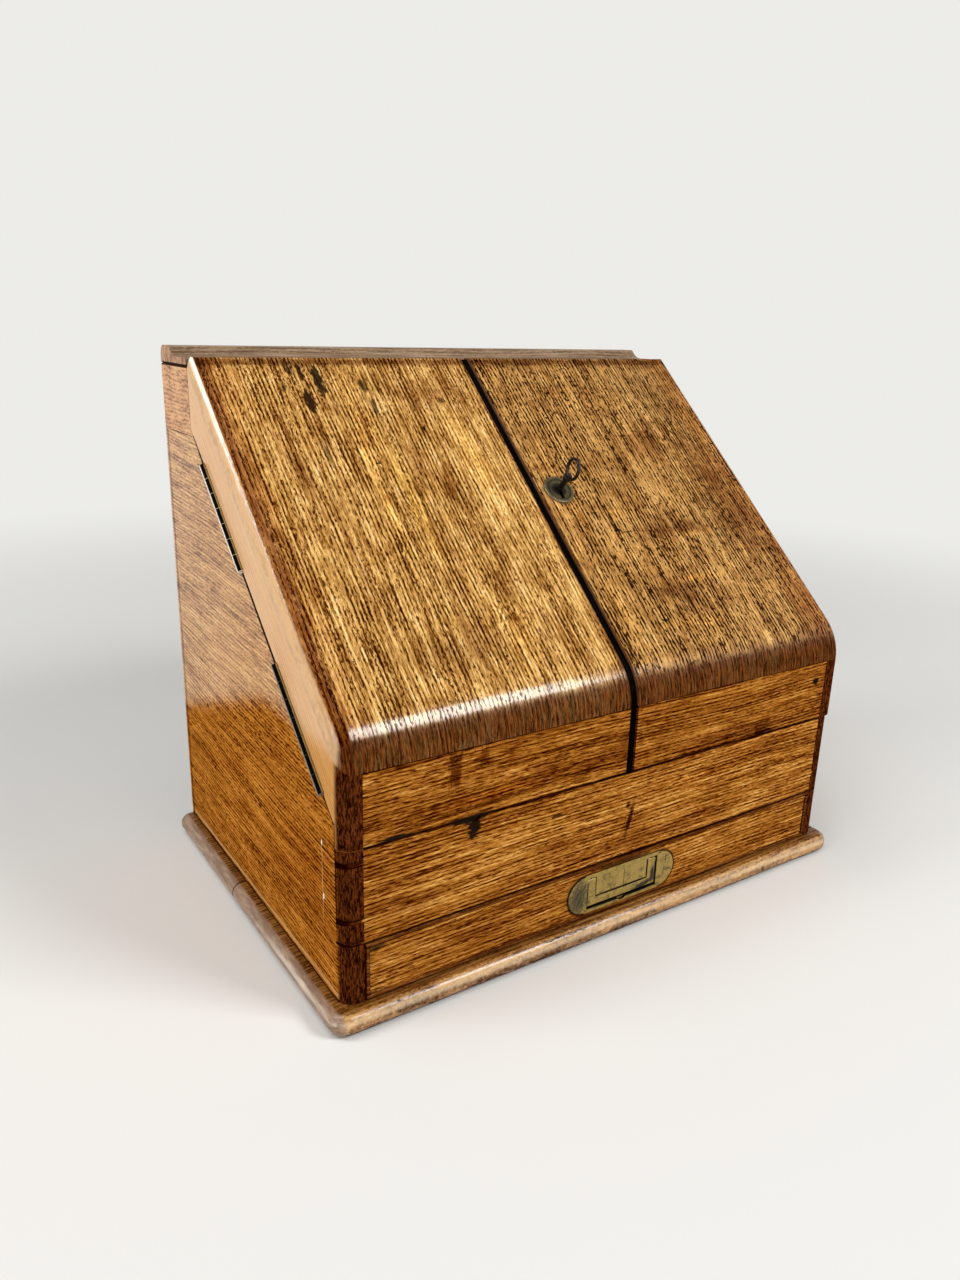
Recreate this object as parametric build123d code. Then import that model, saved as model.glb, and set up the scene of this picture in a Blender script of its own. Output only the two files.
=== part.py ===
from build123d import *
import math
import os

# Sloping-front oak letter box: a dovetailed carcase with a shallow drawer, and two doors that
# make up the whole slope, hung on butt hinges let into the sloping edges of the sides.
# Frame: origin at the middle of the underside of the base, +X to the right of the person who
# faces it, +Y to the back, +Z up. Sizes are in millimetres and degrees.

# ---------------------------------------------------------------- driving dimensions
CASE_WIDTH = 380.0          # outside of the sides
CASE_DEPTH = 255.0          # front face to back face
CASE_HEIGHT = 320.0         # top of the base to the top of the top rail
SIDE_T = 12.8               # side panels and door cheeks
CORNER_R = 9.0              # rounded upright front corners
BACK_T = 8.0
BACK_REBATE = 6.4           # how far the back panel reaches into each side
DADO_DEPTH = 3.0            # housing of a shelf or partition in a side

BASE_T = 14.0
BASE_OVERHANG = 9.0         # past the front and the two sides
BASE_CORNER_R = 10.0
BASE_NOSE_R = 6.6           # half-round edge
BASE_JOINT_FROM_BACK = 108.5

DRAWER_OPENING_H = 36.0
FRONT_RAIL_H = 56.5
FRONT_T = 7.6               # front rail
PIN_HEIGHTS = (14.5, 48.0)  # dovetail pins, above the lower edge of the rail
PIN_ROOT_H = 4.2
PIN_TIP_H = 2.4
HALF_PIN_H = 2.2
NICK_R = 3.2                # worn nick in the top edge of the rail
NICK_X = -109.0
NICK_DEPTH = 1.6
DUST_BOARD_T = 7.0

TOP_RAIL_DEPTH = 52.1
TOP_RAIL_H = 40.5
CAP_SETBACK = 1.5           # front edge of the cap behind the front of the top rail
CAP_LEDGE_T = 5.0
CAP_LEDGE_DEPTH = 22.0
CAP_HEIGHT = 11.0
CAP_RISE_DEPTH = 10.0
CAP_RISE_HOLLOW = 1.3       # sag of the hollow between the ledge and the crest
CAP_CREST_R = 3.0
CAP_BACK_R = 6.0
ARRIS = 0.7                 # small chamfer that softens a joint or a loose edge

PART_KINK_DROP = 36.6       # kink of the parting line, below the top of the top rail
PART_FRONT_RISE = 13.7      # front end of the parting line, above the front rail
PARTING_GAP = 0.9           # between a side's sloping edge and the cheek above it
DOOR_CLEAR = 0.5            # door to top rail, front rail and sides

SLOPE_BOARD_T = 11.5
NOSE_R = 36.5               # rounded nose where the slope meets the upright front
DOOR_FRONT_H = 42.5         # front rail to the seam under the nose
DOOR_FRONT_T = 7.1
DOOR_TOP_RISE = 5.5         # top of the doors above the top of the top rail
DOOR_TOP_LAND = 4.4         # flat edge along the top of the slope
LEFT_DOOR_EDGE_R = 9.0
RIGHT_DOOR_EDGE_R = 5.0
MEETING_X = 2.5             # middle of the black slip between the doors
SLIP_T = 4.4
MEETING_CLEAR = 0.6         # between the slip and the right door
SLIP_SINK = 0.8
SLIP_DEPTH = 22.0           # measured square to the slope
SLIP_FRONT_DEPTH = 15.0

RACK_T = 5.0
RACK_FROM_BACK = (39.0, 85.0, 131.0)     # back panel to the rear face of each partition
RACK_DROPS = (72.0, 109.0, 149.0)        # top of the top rail down to each partition
RACK_SCOOP_R = 60.0
RACK_SCOOP_DEPTH = 22.0
DIVIDER_H = 43.0

DRAWER_SIDE_CLEAR = 0.5
DRAWER_LIFT = 0.3           # running gap under the drawer
DRAWER_TOP_CLEAR = 0.4
DRAWER_FRONT_T = 16.0
DRAWER_BACK_CLEAR = 9.0     # shut drawer to the back panel
DRAWER_SIDE_T = 7.0
DRAWER_SIDE_H = 31.5
DRAWER_BACK_H = 20.0
DRAWER_BOTTOM_T = 4.5
DRAWER_BOTTOM_RISE = 5.0    # underside of the bottom above the lower edge of the sides
DRAWER_GROOVE = 3.0
TAIL_HEIGHTS = (8.2, 23.0)  # dovetails of the drawer sides, above their lower edge
TAIL_ROOT_H = 6.5
TAIL_TIP_H = 9.5
TAIL_LENGTH = 8.0
BEAD_T = 2.7
BEAD_DEPTH = 7.3
BEAD_PROUD = 0.8
STOP_X = 100.0
STOP_SIZE = (30.0, 8.0, 3.4)
STOP_CLEAR = 0.3

HINGE_LENGTH = 78.0
HINGE_FROM_KINK = 68.0      # kink of the parting line to the middle of the upper hinge
HINGE_FROM_FRONT = 56.2     # front end of the parting line to the middle of the lower hinge
HINGE_PROUD = 0.6           # hinge axis outside the side's face
BARREL_R = 2.2
PIN_R = 1.2
PIN_FIT = 0.05
KNUCKLES = 7
KNUCKLE_GAP = 0.3
BARREL_CLEAR = 0.3
LEAF_T = 1.5
LEAF_W = 11.4
LEAF_GAP = 0.3
LEAF_SCREW_OFFSETS = (-27.0, 0.0, 27.0)
LEAF_SCREW_IN = 7.4         # hinge axis to the screws

SCREW_HEAD_R = 2.4
SCREW_SHANK_R = 1.1
SCREW_LENGTH = 10.0
SCREW_FIT = 0.05
LOCK_SCREW_LENGTH = 8.0
BASE_SCREW_HEAD_R = 3.6
BASE_SCREW_SHANK_R = 1.8
BASE_SCREW_LENGTH = 30.0
BASE_SCREW_INSET = 22.0     # end screws of a side, from its front and back edges
BASE_SCREWS_PER_SIDE = 4
NAIL_HEAD_R = 2.0
NAIL_SHANK_R = 0.9
NAIL_LENGTH = 20.0
NAIL_INSET = 17.0           # end nails of a side, from the edges of the back panel
NAILS_PER_SIDE = 5
HEAD_SINK = 0.1
SLOT_W = 0.6                # screwdriver slots
SLOT_DEPTH = 0.6

KEY_X = 21.2
KEY_DOWN = 119.5            # top edge of the slope to the keyhole
KEY_SLOT_TILT = 9.0         # how far the key stands turned from the keyhole's slot
KEY_STEM_R = 1.9
KEY_HOLE_R = 2.3
KEY_SLOT_W = 2.9
KEY_SLOT_L = 7.4
KEY_BIT_R = 6.5
KEY_BIT_T = 2.0
KEY_BIT_H = 4.0
KEY_TIP = 1.0               # stem past the bit
KEY_WARD_DEPTH = 1.5
KEY_WARD_W = 1.0
KEY_WARD_FROM = 1.2
KEY_STEM_OUT = 14.5
KEY_COLLAR_R = 3.1
KEY_COLLAR_H = 3.2
KEY_BOW_R = 6.5             # middle of the bow's wire
KEY_BOW_WIRE_R = 1.15
ESCUTCHEON_R = 10.9
ESCUTCHEON_T = 1.4
ESCUTCHEON_RIM = 2.2
ESCUTCHEON_DISH = 0.5

LOCK_WALL = 1.5
LOCK_LEFT = 13.8            # key axis to the lock's selvedge
LOCK_RIGHT = 28.0
LOCK_UP = 22.0
LOCK_DOWN = 11.0
LOCK_DEPTH = 9.5
BOLT_LOW = 7.0              # key axis to the lower edge of the bolt
BOLT_H = 12.0
BOLT_T = 4.0
BOLT_LENGTH = 30.0
BOLT_CLEAR = 0.3
STRIKE_T = 1.0
STRIKE_LENGTH = 30.0
STRIKE_HEIGHT = 7.6

PULL_X = 3.5
PULL_FROM_TOP = 19.5        # upper edge of the drawer opening to the middle of the plate
PLATE_STRAIGHT = 61.0
PLATE_H = 26.6
PLATE_LOBE_R = 12.6
PLATE_T = 1.6
PLATE_PROUD = 0.4
PAN_W = 57.0
PAN_H = 21.5
PAN_DEPTH = 8.0             # plate's face to the floor of the pan
PAN_WALL = 1.2
PAN_PANEL_BACK = 1.2        # plate's face to the raised panel inside the bail
PAN_PANEL_CLEAR = 0.5       # raised panel to the bail all round
FINGER_NOTCH_R = 4.0
FINGER_NOTCH_DEPTH = 1.8
BAIL_SIDE_CLEAR = 0.6
BAIL_T = 3.2
BAIL_LEG_W = 6.5
BAIL_BAR_H = 6.0
BAIL_END_CLEAR = 0.8        # bail to the lower wall of the pan
BAIL_AXIS_DROP = 2.8        # pivot below the upper wall of the pan
BAIL_AXIS_BACK = 2.4        # pivot behind the plate's face
TRUNNION_R = 1.0
TRUNNION_IN = 0.95          # reach into each side wall of the pan
TRUNNION_FIT = 0.1
PULL_PIN_R = 1.4
PULL_PIN_LENGTH = 12.0
PULL_PIN_OUT = 35.0         # middle of the plate to each pin

# ---------------------------------------------------------------- levels and lines
HALF_W = CASE_WIDTH / 2
INNER_X = HALF_W - SIDE_T
Y_FRONT = BASE_OVERHANG - (CASE_DEPTH + BASE_OVERHANG) / 2
Y_BACK = Y_FRONT + CASE_DEPTH
Y_RAIL_BACK = Y_FRONT + FRONT_T
Y_BACK_PANEL = Y_BACK - BACK_T
Y_TOP_FRONT = Y_BACK - TOP_RAIL_DEPTH
Z_RAIL = BASE_T + DRAWER_OPENING_H
Z_RAIL_TOP = Z_RAIL + FRONT_RAIL_H
Z_FLOOR = Z_RAIL + DUST_BOARD_T
Z_CASE_TOP = BASE_T + CASE_HEIGHT
Z_TOP_RAIL = Z_CASE_TOP - TOP_RAIL_H
Z_KINK = Z_CASE_TOP - PART_KINK_DROP
Z_PART_FRONT = Z_RAIL_TOP + PART_FRONT_RISE
Z_SEAM = Z_RAIL_TOP + DOOR_FRONT_H
Z_DOOR_TOP = Z_CASE_TOP + DOOR_TOP_RISE
Z_DOOR_BOTTOM = Z_RAIL_TOP + DOOR_CLEAR
Y_DOOR_BACK = Y_TOP_FRONT - DOOR_CLEAR
Y_CHEEK_FRONT = Y_RAIL_BACK - DOOR_CLEAR

Y_DOOR_TOP_FRONT = Y_DOOR_BACK - DOOR_TOP_LAND

# the sloping board's underside starts at the seam and its face ends at the top front edge
SLOPE_RUN = Y_DOOR_TOP_FRONT - Y_FRONT
SLOPE_RISE = Z_DOOR_TOP - Z_SEAM
SLOPE = (math.acos(SLOPE_BOARD_T / math.hypot(SLOPE_RUN, SLOPE_RISE))
         - math.atan2(SLOPE_RUN, SLOPE_RISE))
PARTING_RUN = Y_TOP_FRONT - Y_RAIL_BACK
PARTING_RISE = Z_KINK - Z_PART_FRONT
PARTING = math.atan2(PARTING_RISE, PARTING_RUN)
FAR = 2 * CASE_WIDTH        # longer than anything here, for cutting tools
LEFT_INNER_X = MEETING_X - (SLIP_T + MEETING_CLEAR) / 2
RIGHT_INNER_X = MEETING_X + (SLIP_T + MEETING_CLEAR) / 2


def slope_z(y, depth=0.0):
    """Height of the sloping face at y, or of a plane that lies depth below it."""
    board_top = Z_SEAM + SLOPE_BOARD_T / math.cos(SLOPE)
    return board_top + math.tan(SLOPE) * (y - Y_FRONT) - depth / math.cos(SLOPE)


def parting_z(y, rise=0.0):
    """Height of a side's sloping edge at y, or of a line that lies rise above it."""
    return Z_KINK + math.tan(PARTING) * (y - Y_TOP_FRONT) + rise / math.cos(PARTING)


# ---------------------------------------------------------------- small helpers
def board(x0, x1, y0, y1, z0, z1):
    """A box given by its limits."""
    return Pos((x0 + x1) / 2, (y0 + y1) / 2, (z0 + z1) / 2) * Box(x1 - x0, y1 - y0, z1 - z0)


def outline_yz(*points):
    """A face in the YZ plane through (y, z) points."""
    return make_face(Polyline(*points, close=True))


def prism(face, x0, x1):
    """A YZ face carried from x0 to x1."""
    return extrude(Plane.YZ.offset(x0) * face, amount=x1 - x0)


def mirrored(shape):
    """The right-hand copy of a left-hand piece."""
    return mirror(shape, about=Plane.YZ)


def nearest_vertex(face, y, z):
    """The corner of a flat face that lies nearest to (y, z)."""
    return min(face.vertices(), key=lambda v: math.hypot(v.X - y, v.Y - z))


def screw(head_r, shank_r, length, grow=0.0, slot=True):
    """A countersunk screw, its flat head at z = 0 and its point towards -Z."""
    head_h = head_r - shank_r
    head = Pos(0, 0, -head_h / 2) * Cone(shank_r + grow, head_r + grow, head_h)
    shank = Pos(0, 0, -(length + grow) / 2) * Cylinder(shank_r + grow, length + grow)
    body = head + shank
    if slot:
        body -= Box(3 * head_r, SLOT_W, 2 * SLOT_DEPTH)
    return body


def screw_hole(head_r, shank_r, length):
    """The hole for a screw, open above its head."""
    hole = screw(head_r, shank_r, length, grow=SCREW_FIT, slot=False)
    return hole + Pos(0, 0, length / 2) * Cylinder(head_r + SCREW_FIT, length)


def small_screw():
    return screw(SCREW_HEAD_R, SCREW_SHANK_R, SCREW_LENGTH)


def small_screw_hole():
    return screw_hole(SCREW_HEAD_R, SCREW_SHANK_R, SCREW_LENGTH)


def write(name, *solids):
    """One STEP file per piece; loose fasteners of one kind share a file."""
    shape = solids[0] if len(solids) == 1 else Compound(children=list(solids))
    shape.label = name
    export_step(shape, f"parts/{name}.step")


os.makedirs("parts", exist_ok=True)

# ---------------------------------------------------------------- base
base = board(-HALF_W - BASE_OVERHANG, HALF_W + BASE_OVERHANG, Y_FRONT - BASE_OVERHANG, Y_BACK,
             0, BASE_T)
base = fillet(base.edges().filter_by(Axis.Z).group_by(Axis.Y)[0], BASE_CORNER_R)
rim_faces = (base.faces().sort_by(Axis.Z)[0], base.faces().sort_by(Axis.Z)[-1])
rim = [e for f in rim_faces for e in f.edges() if e.center().Y < Y_BACK - 1]
base = fillet(rim, BASE_NOSE_R)

base_screw_places = []
for side in (-1, 1):
    for i in range(BASE_SCREWS_PER_SIDE):
        span = CASE_DEPTH - 2 * BASE_SCREW_INSET
        y = Y_FRONT + BASE_SCREW_INSET + span * i / (BASE_SCREWS_PER_SIDE - 1)
        base_screw_places.append(Pos(side * (HALF_W - SIDE_T / 2), y, HEAD_SINK) * Rot(180, 0, 0))
base_screws = [p * screw(BASE_SCREW_HEAD_R, BASE_SCREW_SHANK_R, BASE_SCREW_LENGTH)
               for p in base_screw_places]
base_screw_holes = [p * screw_hole(BASE_SCREW_HEAD_R, BASE_SCREW_SHANK_R, BASE_SCREW_LENGTH)
                    for p in base_screw_places]
base -= base_screw_holes

Y_BASE_JOINT = Y_BACK - BASE_JOINT_FROM_BACK
base_front = base & board(-FAR, FAR, -FAR, Y_BASE_JOINT, -FAR, FAR)
base_rear = base & board(-FAR, FAR, Y_BASE_JOINT, FAR, -FAR, FAR)
joint_groove = Pos(0, Y_BASE_JOINT, BASE_T / 2) * (
    Box(FAR, FAR, FAR) - Box(CASE_WIDTH + 2 * BASE_OVERHANG - 2 * ARRIS, FAR + 2, BASE_T - 2 * ARRIS))
joint_groove &= Pos(0, Y_BASE_JOINT, 0) * Box(FAR, ARRIS, FAR)
base_front -= joint_groove
base_rear -= joint_groove
write("base_board_front", base_front)
write("base_board_rear", base_rear)
write("base_screws", *base_screws)

# ---------------------------------------------------------------- hinges and their frames
class HingeSide:
    """Left-hand hinge geometry in a local frame: x down the slope, y inwards, z off the edge."""

    def __init__(self, down):
        """Place the frame on the hinge axis, at a distance down from the kink."""
        axis_y, axis_z = -math.cos(PARTING), -math.sin(PARTING)
        rise = PARTING_GAP / 2
        y = Y_TOP_FRONT + down * axis_y - rise * math.sin(PARTING)
        z = Z_KINK + down * axis_z + rise * math.cos(PARTING)
        self.frame = Plane(origin=(-HALF_W - HINGE_PROUD, y, z), x_dir=(0, axis_y, axis_z),
                           z_dir=(0, -math.sin(PARTING), math.cos(PARTING)))

    def barrel(self, radius, length, at=0.0):
        """A round bar on the hinge axis."""
        return Pos(at, 0, 0) * Rot(0, 90, 0) * Cylinder(radius, length)

    def leaf(self, first, up):
        """One leaf with its knuckles; the leaf above the gap belongs to the door."""
        low = LEAF_GAP / 2
        root = BARREL_R + BARREL_CLEAR
        shape = board(-HINGE_LENGTH / 2, HINGE_LENGTH / 2, root, LEAF_W, low, low + LEAF_T)
        pitch = HINGE_LENGTH / KNUCKLES
        length = pitch - KNUCKLE_GAP
        for k in range(first, KNUCKLES, 2):
            at = (k + 0.5) * pitch - HINGE_LENGTH / 2
            shape += board(at - length / 2, at + length / 2, 0, root, low, low + LEAF_T)
            shape += self.barrel(BARREL_R, length, at)
        shape -= self.barrel(PIN_R + PIN_FIT, HINGE_LENGTH + 2)
        for x in LEAF_SCREW_OFFSETS:
            shape -= Pos(x, LEAF_SCREW_IN, low + HEAD_SINK) * Rot(180, 0, 0) * small_screw_hole()
        return self.frame * (shape if up else mirror(shape, about=Plane.XY))

    def pin(self):
        """The hinge pin."""
        return self.frame * self.barrel(PIN_R, HINGE_LENGTH)

    def screws(self, up, make):
        """The screws of one leaf, or their holes."""
        placed = []
        for x in LEAF_SCREW_OFFSETS:
            one = Pos(x, LEAF_SCREW_IN, LEAF_GAP / 2 + HEAD_SINK) * Rot(180, 0, 0) * make()
            placed.append(self.frame * (one if up else mirror(one, about=Plane.XY)))
        return placed

    def recess(self, up):
        """What is cut from a wooden edge for the leaf and the barrel."""
        half = HINGE_LENGTH / 2 + KNUCKLE_GAP
        cut = board(-half, half, -FAR, LEAF_W + SCREW_FIT, -FAR, LEAF_GAP / 2 + LEAF_T)
        cut &= board(-half, half, -BARREL_R, LEAF_W + SCREW_FIT, -PARTING_GAP, LEAF_GAP / 2 + LEAF_T)
        cut += self.barrel(BARREL_R + BARREL_CLEAR, 2 * half)
        return self.frame * (cut if up else mirror(cut, about=Plane.XY))


hinges = {"upper": HingeSide(HINGE_FROM_KINK),
          "lower": HingeSide(math.hypot(PARTING_RUN, PARTING_RISE) - HINGE_FROM_FRONT)}
case_screws = []
door_screws = []
for place, hinge in hinges.items():
    parts = {"case_leaf": hinge.leaf(0, up=False), "door_leaf": hinge.leaf(1, up=True),
             "pin": hinge.pin()}
    for kind, shape in parts.items():
        write(f"hinge_{kind}_left_{place}", shape)
        write(f"hinge_{kind}_right_{place}", mirrored(shape))
    case_screws += hinge.screws(False, small_screw)
    door_screws += hinge.screws(True, small_screw)
write("hinge_screws_case", *case_screws, *[mirrored(s) for s in case_screws])
write("hinge_screws_left_door", *door_screws)
write("hinge_screws_right_door", *[mirrored(s) for s in door_screws])

# ---------------------------------------------------------------- carcase
case_blank = board(-HALF_W, HALF_W, Y_FRONT, Y_BACK, BASE_T, Z_CASE_TOP)
case_blank = fillet(case_blank.edges().filter_by(Axis.Z).group_by(Axis.Y)[0], CORNER_R)
side_face = outline_yz((Y_FRONT, BASE_T), (Y_BACK, BASE_T), (Y_BACK, Z_CASE_TOP),
                       (Y_TOP_FRONT, Z_CASE_TOP), (Y_TOP_FRONT, Z_KINK),
                       (Y_RAIL_BACK, Z_PART_FRONT), (Y_RAIL_BACK, Z_RAIL_TOP),
                       (Y_FRONT, Z_RAIL_TOP))

# dovetail pins of the front rail: wide at the root, narrow at the front face
pins = []
for height in PIN_HEIGHTS:
    z = Z_RAIL + height
    pins.append(outline_yz((Y_RAIL_BACK, z - PIN_ROOT_H / 2), (Y_RAIL_BACK, z + PIN_ROOT_H / 2),
                           (Y_FRONT, z + PIN_TIP_H / 2), (Y_FRONT, z - PIN_TIP_H / 2)))
pins.append(outline_yz((Y_RAIL_BACK, Z_RAIL), (Y_RAIL_BACK, Z_RAIL + HALF_PIN_H),
                       (Y_FRONT, Z_RAIL + HALF_PIN_H * PIN_TIP_H / PIN_ROOT_H), (Y_FRONT, Z_RAIL)))
pin_bars = [prism(pin, -HALF_W, HALF_W) for pin in pins]

rail_plank = board(-INNER_X, INNER_X, Y_FRONT, Y_RAIL_BACK, Z_RAIL, Z_RAIL_TOP)
rail_nick = Pos(NICK_X, Y_FRONT, Z_RAIL_TOP) * Rot(90, 0, 0) * Cylinder(NICK_R, 2 * NICK_DEPTH)
front_rail = rail_plank
for bar in pin_bars:
    front_rail += bar & case_blank
front_rail -= rail_nick
write("front_rail", front_rail)

# stepped letter rack: partitions housed in the sides, each with a finger scoop
rack_places = []
for from_back, drop in zip(RACK_FROM_BACK, RACK_DROPS):
    rear_face = Y_BACK_PANEL - from_back
    rack_places.append((rear_face - RACK_T, rear_face, Z_CASE_TOP - drop))


def rack_partition(y0, y1, top, half_width):
    """A partition across the case, its top edge dipped in the middle."""
    plank = board(-half_width, half_width, y0, y1, Z_FLOOR, top)
    scoop_z = top - RACK_SCOOP_DEPTH + RACK_SCOOP_R
    scoop = Pos(0, (y0 + y1) / 2, scoop_z) * Rot(90, 0, 0) * Cylinder(RACK_SCOOP_R, 2 * RACK_T)
    return plank - scoop


for name, (y0, y1, top) in zip(("rear", "middle", "front"), rack_places):
    write(f"rack_partition_{name}", rack_partition(y0, y1, top, INNER_X + DADO_DEPTH))
write("tray_divider", board(-RACK_T / 2, RACK_T / 2, Y_RAIL_BACK, rack_places[-1][0],
                            Z_FLOOR, Z_FLOOR + DIVIDER_H))

dust_board = board(-INNER_X - DADO_DEPTH, INNER_X + DADO_DEPTH, Y_RAIL_BACK, Y_BACK_PANEL,
                   Z_RAIL, Z_FLOOR)
back_half = HALF_W - BACK_REBATE
back_panel = board(-back_half, back_half, Y_BACK_PANEL, Y_BACK, BASE_T, Z_TOP_RAIL)
nail_span = Z_TOP_RAIL - BASE_T - 2 * NAIL_INSET
nail_heights = [BASE_T + NAIL_INSET + nail_span * i / (NAILS_PER_SIDE - 1)
                for i in range(NAILS_PER_SIDE)]
nail_places = [Pos(side * (INNER_X + (SIDE_T - BACK_REBATE) / 2), Y_BACK - HEAD_SINK, z)
               * Rot(-90, 0, 0) for side in (-1, 1) for z in nail_heights]
nails = [p * screw(NAIL_HEAD_R, NAIL_SHANK_R, NAIL_LENGTH, slot=False) for p in nail_places]
nail_holes = [p * screw_hole(NAIL_HEAD_R, NAIL_SHANK_R, NAIL_LENGTH) for p in nail_places]
back_panel -= nail_holes
write("dust_board", dust_board)
write("back_panel", back_panel)
write("back_panel_nails", *nails)

side_panel = prism(side_face, -HALF_W, -INNER_X) & case_blank
side_panel &= board(-FAR, FAR, -FAR, FAR, BASE_T, Z_TOP_RAIL)
side_panel -= pin_bars
side_panel -= board(-back_half, FAR, Y_BACK_PANEL, FAR, BASE_T, Z_TOP_RAIL)
side_panel -= dust_board
for y0, y1, top in rack_places:
    side_panel -= board(-INNER_X - DADO_DEPTH, FAR, y0, y1, Z_FLOOR, top)
for hinge in hinges.values():
    side_panel -= hinge.recess(up=False)
    side_panel -= hinge.screws(False, small_screw_hole)
side_panel -= base_screw_holes[:BASE_SCREWS_PER_SIDE]
side_panel -= nail_holes[:NAILS_PER_SIDE]
write("side_panel_left", side_panel)
write("side_panel_right", mirrored(side_panel))

top_rail = prism(side_face, -HALF_W, HALF_W)
top_rail &= board(-FAR, FAR, -FAR, FAR, Z_TOP_RAIL, Z_CASE_TOP)
top_rail = chamfer(top_rail.faces().sort_by(Axis.Z)[-1].edges(), ARRIS)
write("top_rail", top_rail)

Y_CAP_FRONT = Y_TOP_FRONT + CAP_SETBACK
Y_CAP_LEDGE = Y_CAP_FRONT + CAP_LEDGE_DEPTH
Z_CAP_LEDGE = Z_CASE_TOP + CAP_LEDGE_T
Z_CAP_TOP = Z_CASE_TOP + CAP_HEIGHT
rise_start = (Y_CAP_LEDGE, Z_CAP_LEDGE)
rise_end = (Y_CAP_LEDGE + CAP_RISE_DEPTH, Z_CAP_TOP)
rise_angle = math.atan2(rise_end[1] - rise_start[1], rise_end[0] - rise_start[0])
rise_middle = ((rise_start[0] + rise_end[0]) / 2 + CAP_RISE_HOLLOW * math.sin(rise_angle),
               (rise_start[1] + rise_end[1]) / 2 - CAP_RISE_HOLLOW * math.cos(rise_angle))
cap_face = make_face([
    Polyline((Y_CAP_FRONT, Z_CASE_TOP), (Y_CAP_FRONT, Z_CAP_LEDGE), rise_start),
    ThreePointArc(rise_start, rise_middle, rise_end),
    Polyline(rise_end, (Y_BACK, Z_CAP_TOP), (Y_BACK, Z_CASE_TOP), (Y_CAP_FRONT, Z_CASE_TOP)),
])
cap_face = fillet(nearest_vertex(cap_face, *rise_end), CAP_CREST_R)
cap_face = fillet(nearest_vertex(cap_face, Y_BACK, Z_CAP_TOP), CAP_BACK_R)
cap_face = fillet(nearest_vertex(cap_face, Y_CAP_FRONT, Z_CAP_LEDGE), 2 * ARRIS)
top_cap = prism(cap_face, -HALF_W, HALF_W)
top_cap = chamfer(top_cap.faces().sort_by(Axis.Z)[0].edges(), ARRIS)
write("top_cap", top_cap)

# ---------------------------------------------------------------- doors
door_face = outline_yz((Y_FRONT, Z_DOOR_BOTTOM), (Y_FRONT, slope_z(Y_FRONT)),
                       (Y_DOOR_TOP_FRONT, Z_DOOR_TOP), (Y_DOOR_BACK, Z_DOOR_TOP),
                       (Y_DOOR_BACK, Z_DOOR_BOTTOM))
door_face = fillet(nearest_vertex(door_face, Y_FRONT, slope_z(Y_FRONT)), NOSE_R)
board_zone = outline_yz((Y_FRONT - 1, slope_z(Y_FRONT - 1, SLOPE_BOARD_T)),
                        (Y_BACK, slope_z(Y_BACK, SLOPE_BOARD_T)),
                        (Y_BACK, FAR), (Y_FRONT - 1, FAR))
cheek_zone = outline_yz((Y_FRONT, Z_DOOR_BOTTOM), (Y_CHEEK_FRONT, Z_DOOR_BOTTOM),
                        (Y_CHEEK_FRONT, parting_z(Y_CHEEK_FRONT, PARTING_GAP)),
                        (Y_DOOR_BACK, parting_z(Y_DOOR_BACK, PARTING_GAP)),
                        (Y_DOOR_BACK, slope_z(Y_DOOR_BACK, SLOPE_BOARD_T)),
                        (Y_FRONT, slope_z(Y_FRONT, SLOPE_BOARD_T)))
Y_DOOR_FRONT_BACK = Y_FRONT + DOOR_FRONT_T
strip_zone = outline_yz((Y_FRONT, Z_DOOR_BOTTOM), (Y_DOOR_FRONT_BACK, Z_DOOR_BOTTOM),
                        (Y_DOOR_FRONT_BACK, slope_z(Y_DOOR_FRONT_BACK, SLOPE_BOARD_T)),
                        (Y_FRONT, slope_z(Y_FRONT, SLOPE_BOARD_T)))


def door_blank(width, edge_r):
    """A left door as one block: outer edge rounded, arris broken at the meeting edge."""
    blank = prism(door_face, -HALF_W, -HALF_W + width)

    def outside_edges(face):
        """The edges of an end face that run down the slope and the front."""
        return [e for e in face.edges() if e.center().Z > Z_DOOR_BOTTOM + 1
                and e.center().Y < Y_DOOR_TOP_FRONT - 1]

    blank = fillet(outside_edges(blank.faces().sort_by(Axis.X)[0]), edge_r)
    return chamfer(outside_edges(blank.faces().sort_by(Axis.X)[-1]), ARRIS)


def door_pieces(width, edge_r):
    """The sloping board, the upright front strip and the cheek of a left door."""
    blank = door_blank(width, edge_r)
    meeting_x = -HALF_W + width
    slope_board = blank & prism(board_zone, -HALF_W, meeting_x)
    strip = blank & prism(strip_zone, -INNER_X, meeting_x)
    cheek = blank & prism(cheek_zone, -HALF_W, -INNER_X)
    for hinge in hinges.values():
        cheek -= hinge.recess(up=True)
        cheek -= hinge.screws(True, small_screw_hole)
    return slope_board, strip, cheek


# frame of the lock: x to the right, y up the slope, z out of the sloping face
key_y = Y_DOOR_TOP_FRONT - KEY_DOWN * math.cos(SLOPE)
lock_frame = Plane(origin=(KEY_X, key_y, slope_z(key_y)), x_dir=(1, 0, 0),
                   z_dir=(0, -math.sin(SLOPE), math.cos(SLOPE)))
LOCK_TOP = -SLOPE_BOARD_T
LOCK_BACK = LOCK_TOP - LOCK_DEPTH
BOLT_BACK = LOCK_BACK + LOCK_WALL + BOLT_CLEAR
BOLT_HIGH = BOLT_LOW + BOLT_H


def keyhole(depth):
    """A keyhole through everything down to a depth: a round hole with a slot down the slope."""
    slot = Pos(0, -KEY_SLOT_L / 2, 0) * Box(KEY_SLOT_W, KEY_SLOT_L, 2 * depth)
    return lock_frame * (Cylinder(KEY_HOLE_R, 2 * depth) + slot)


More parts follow.
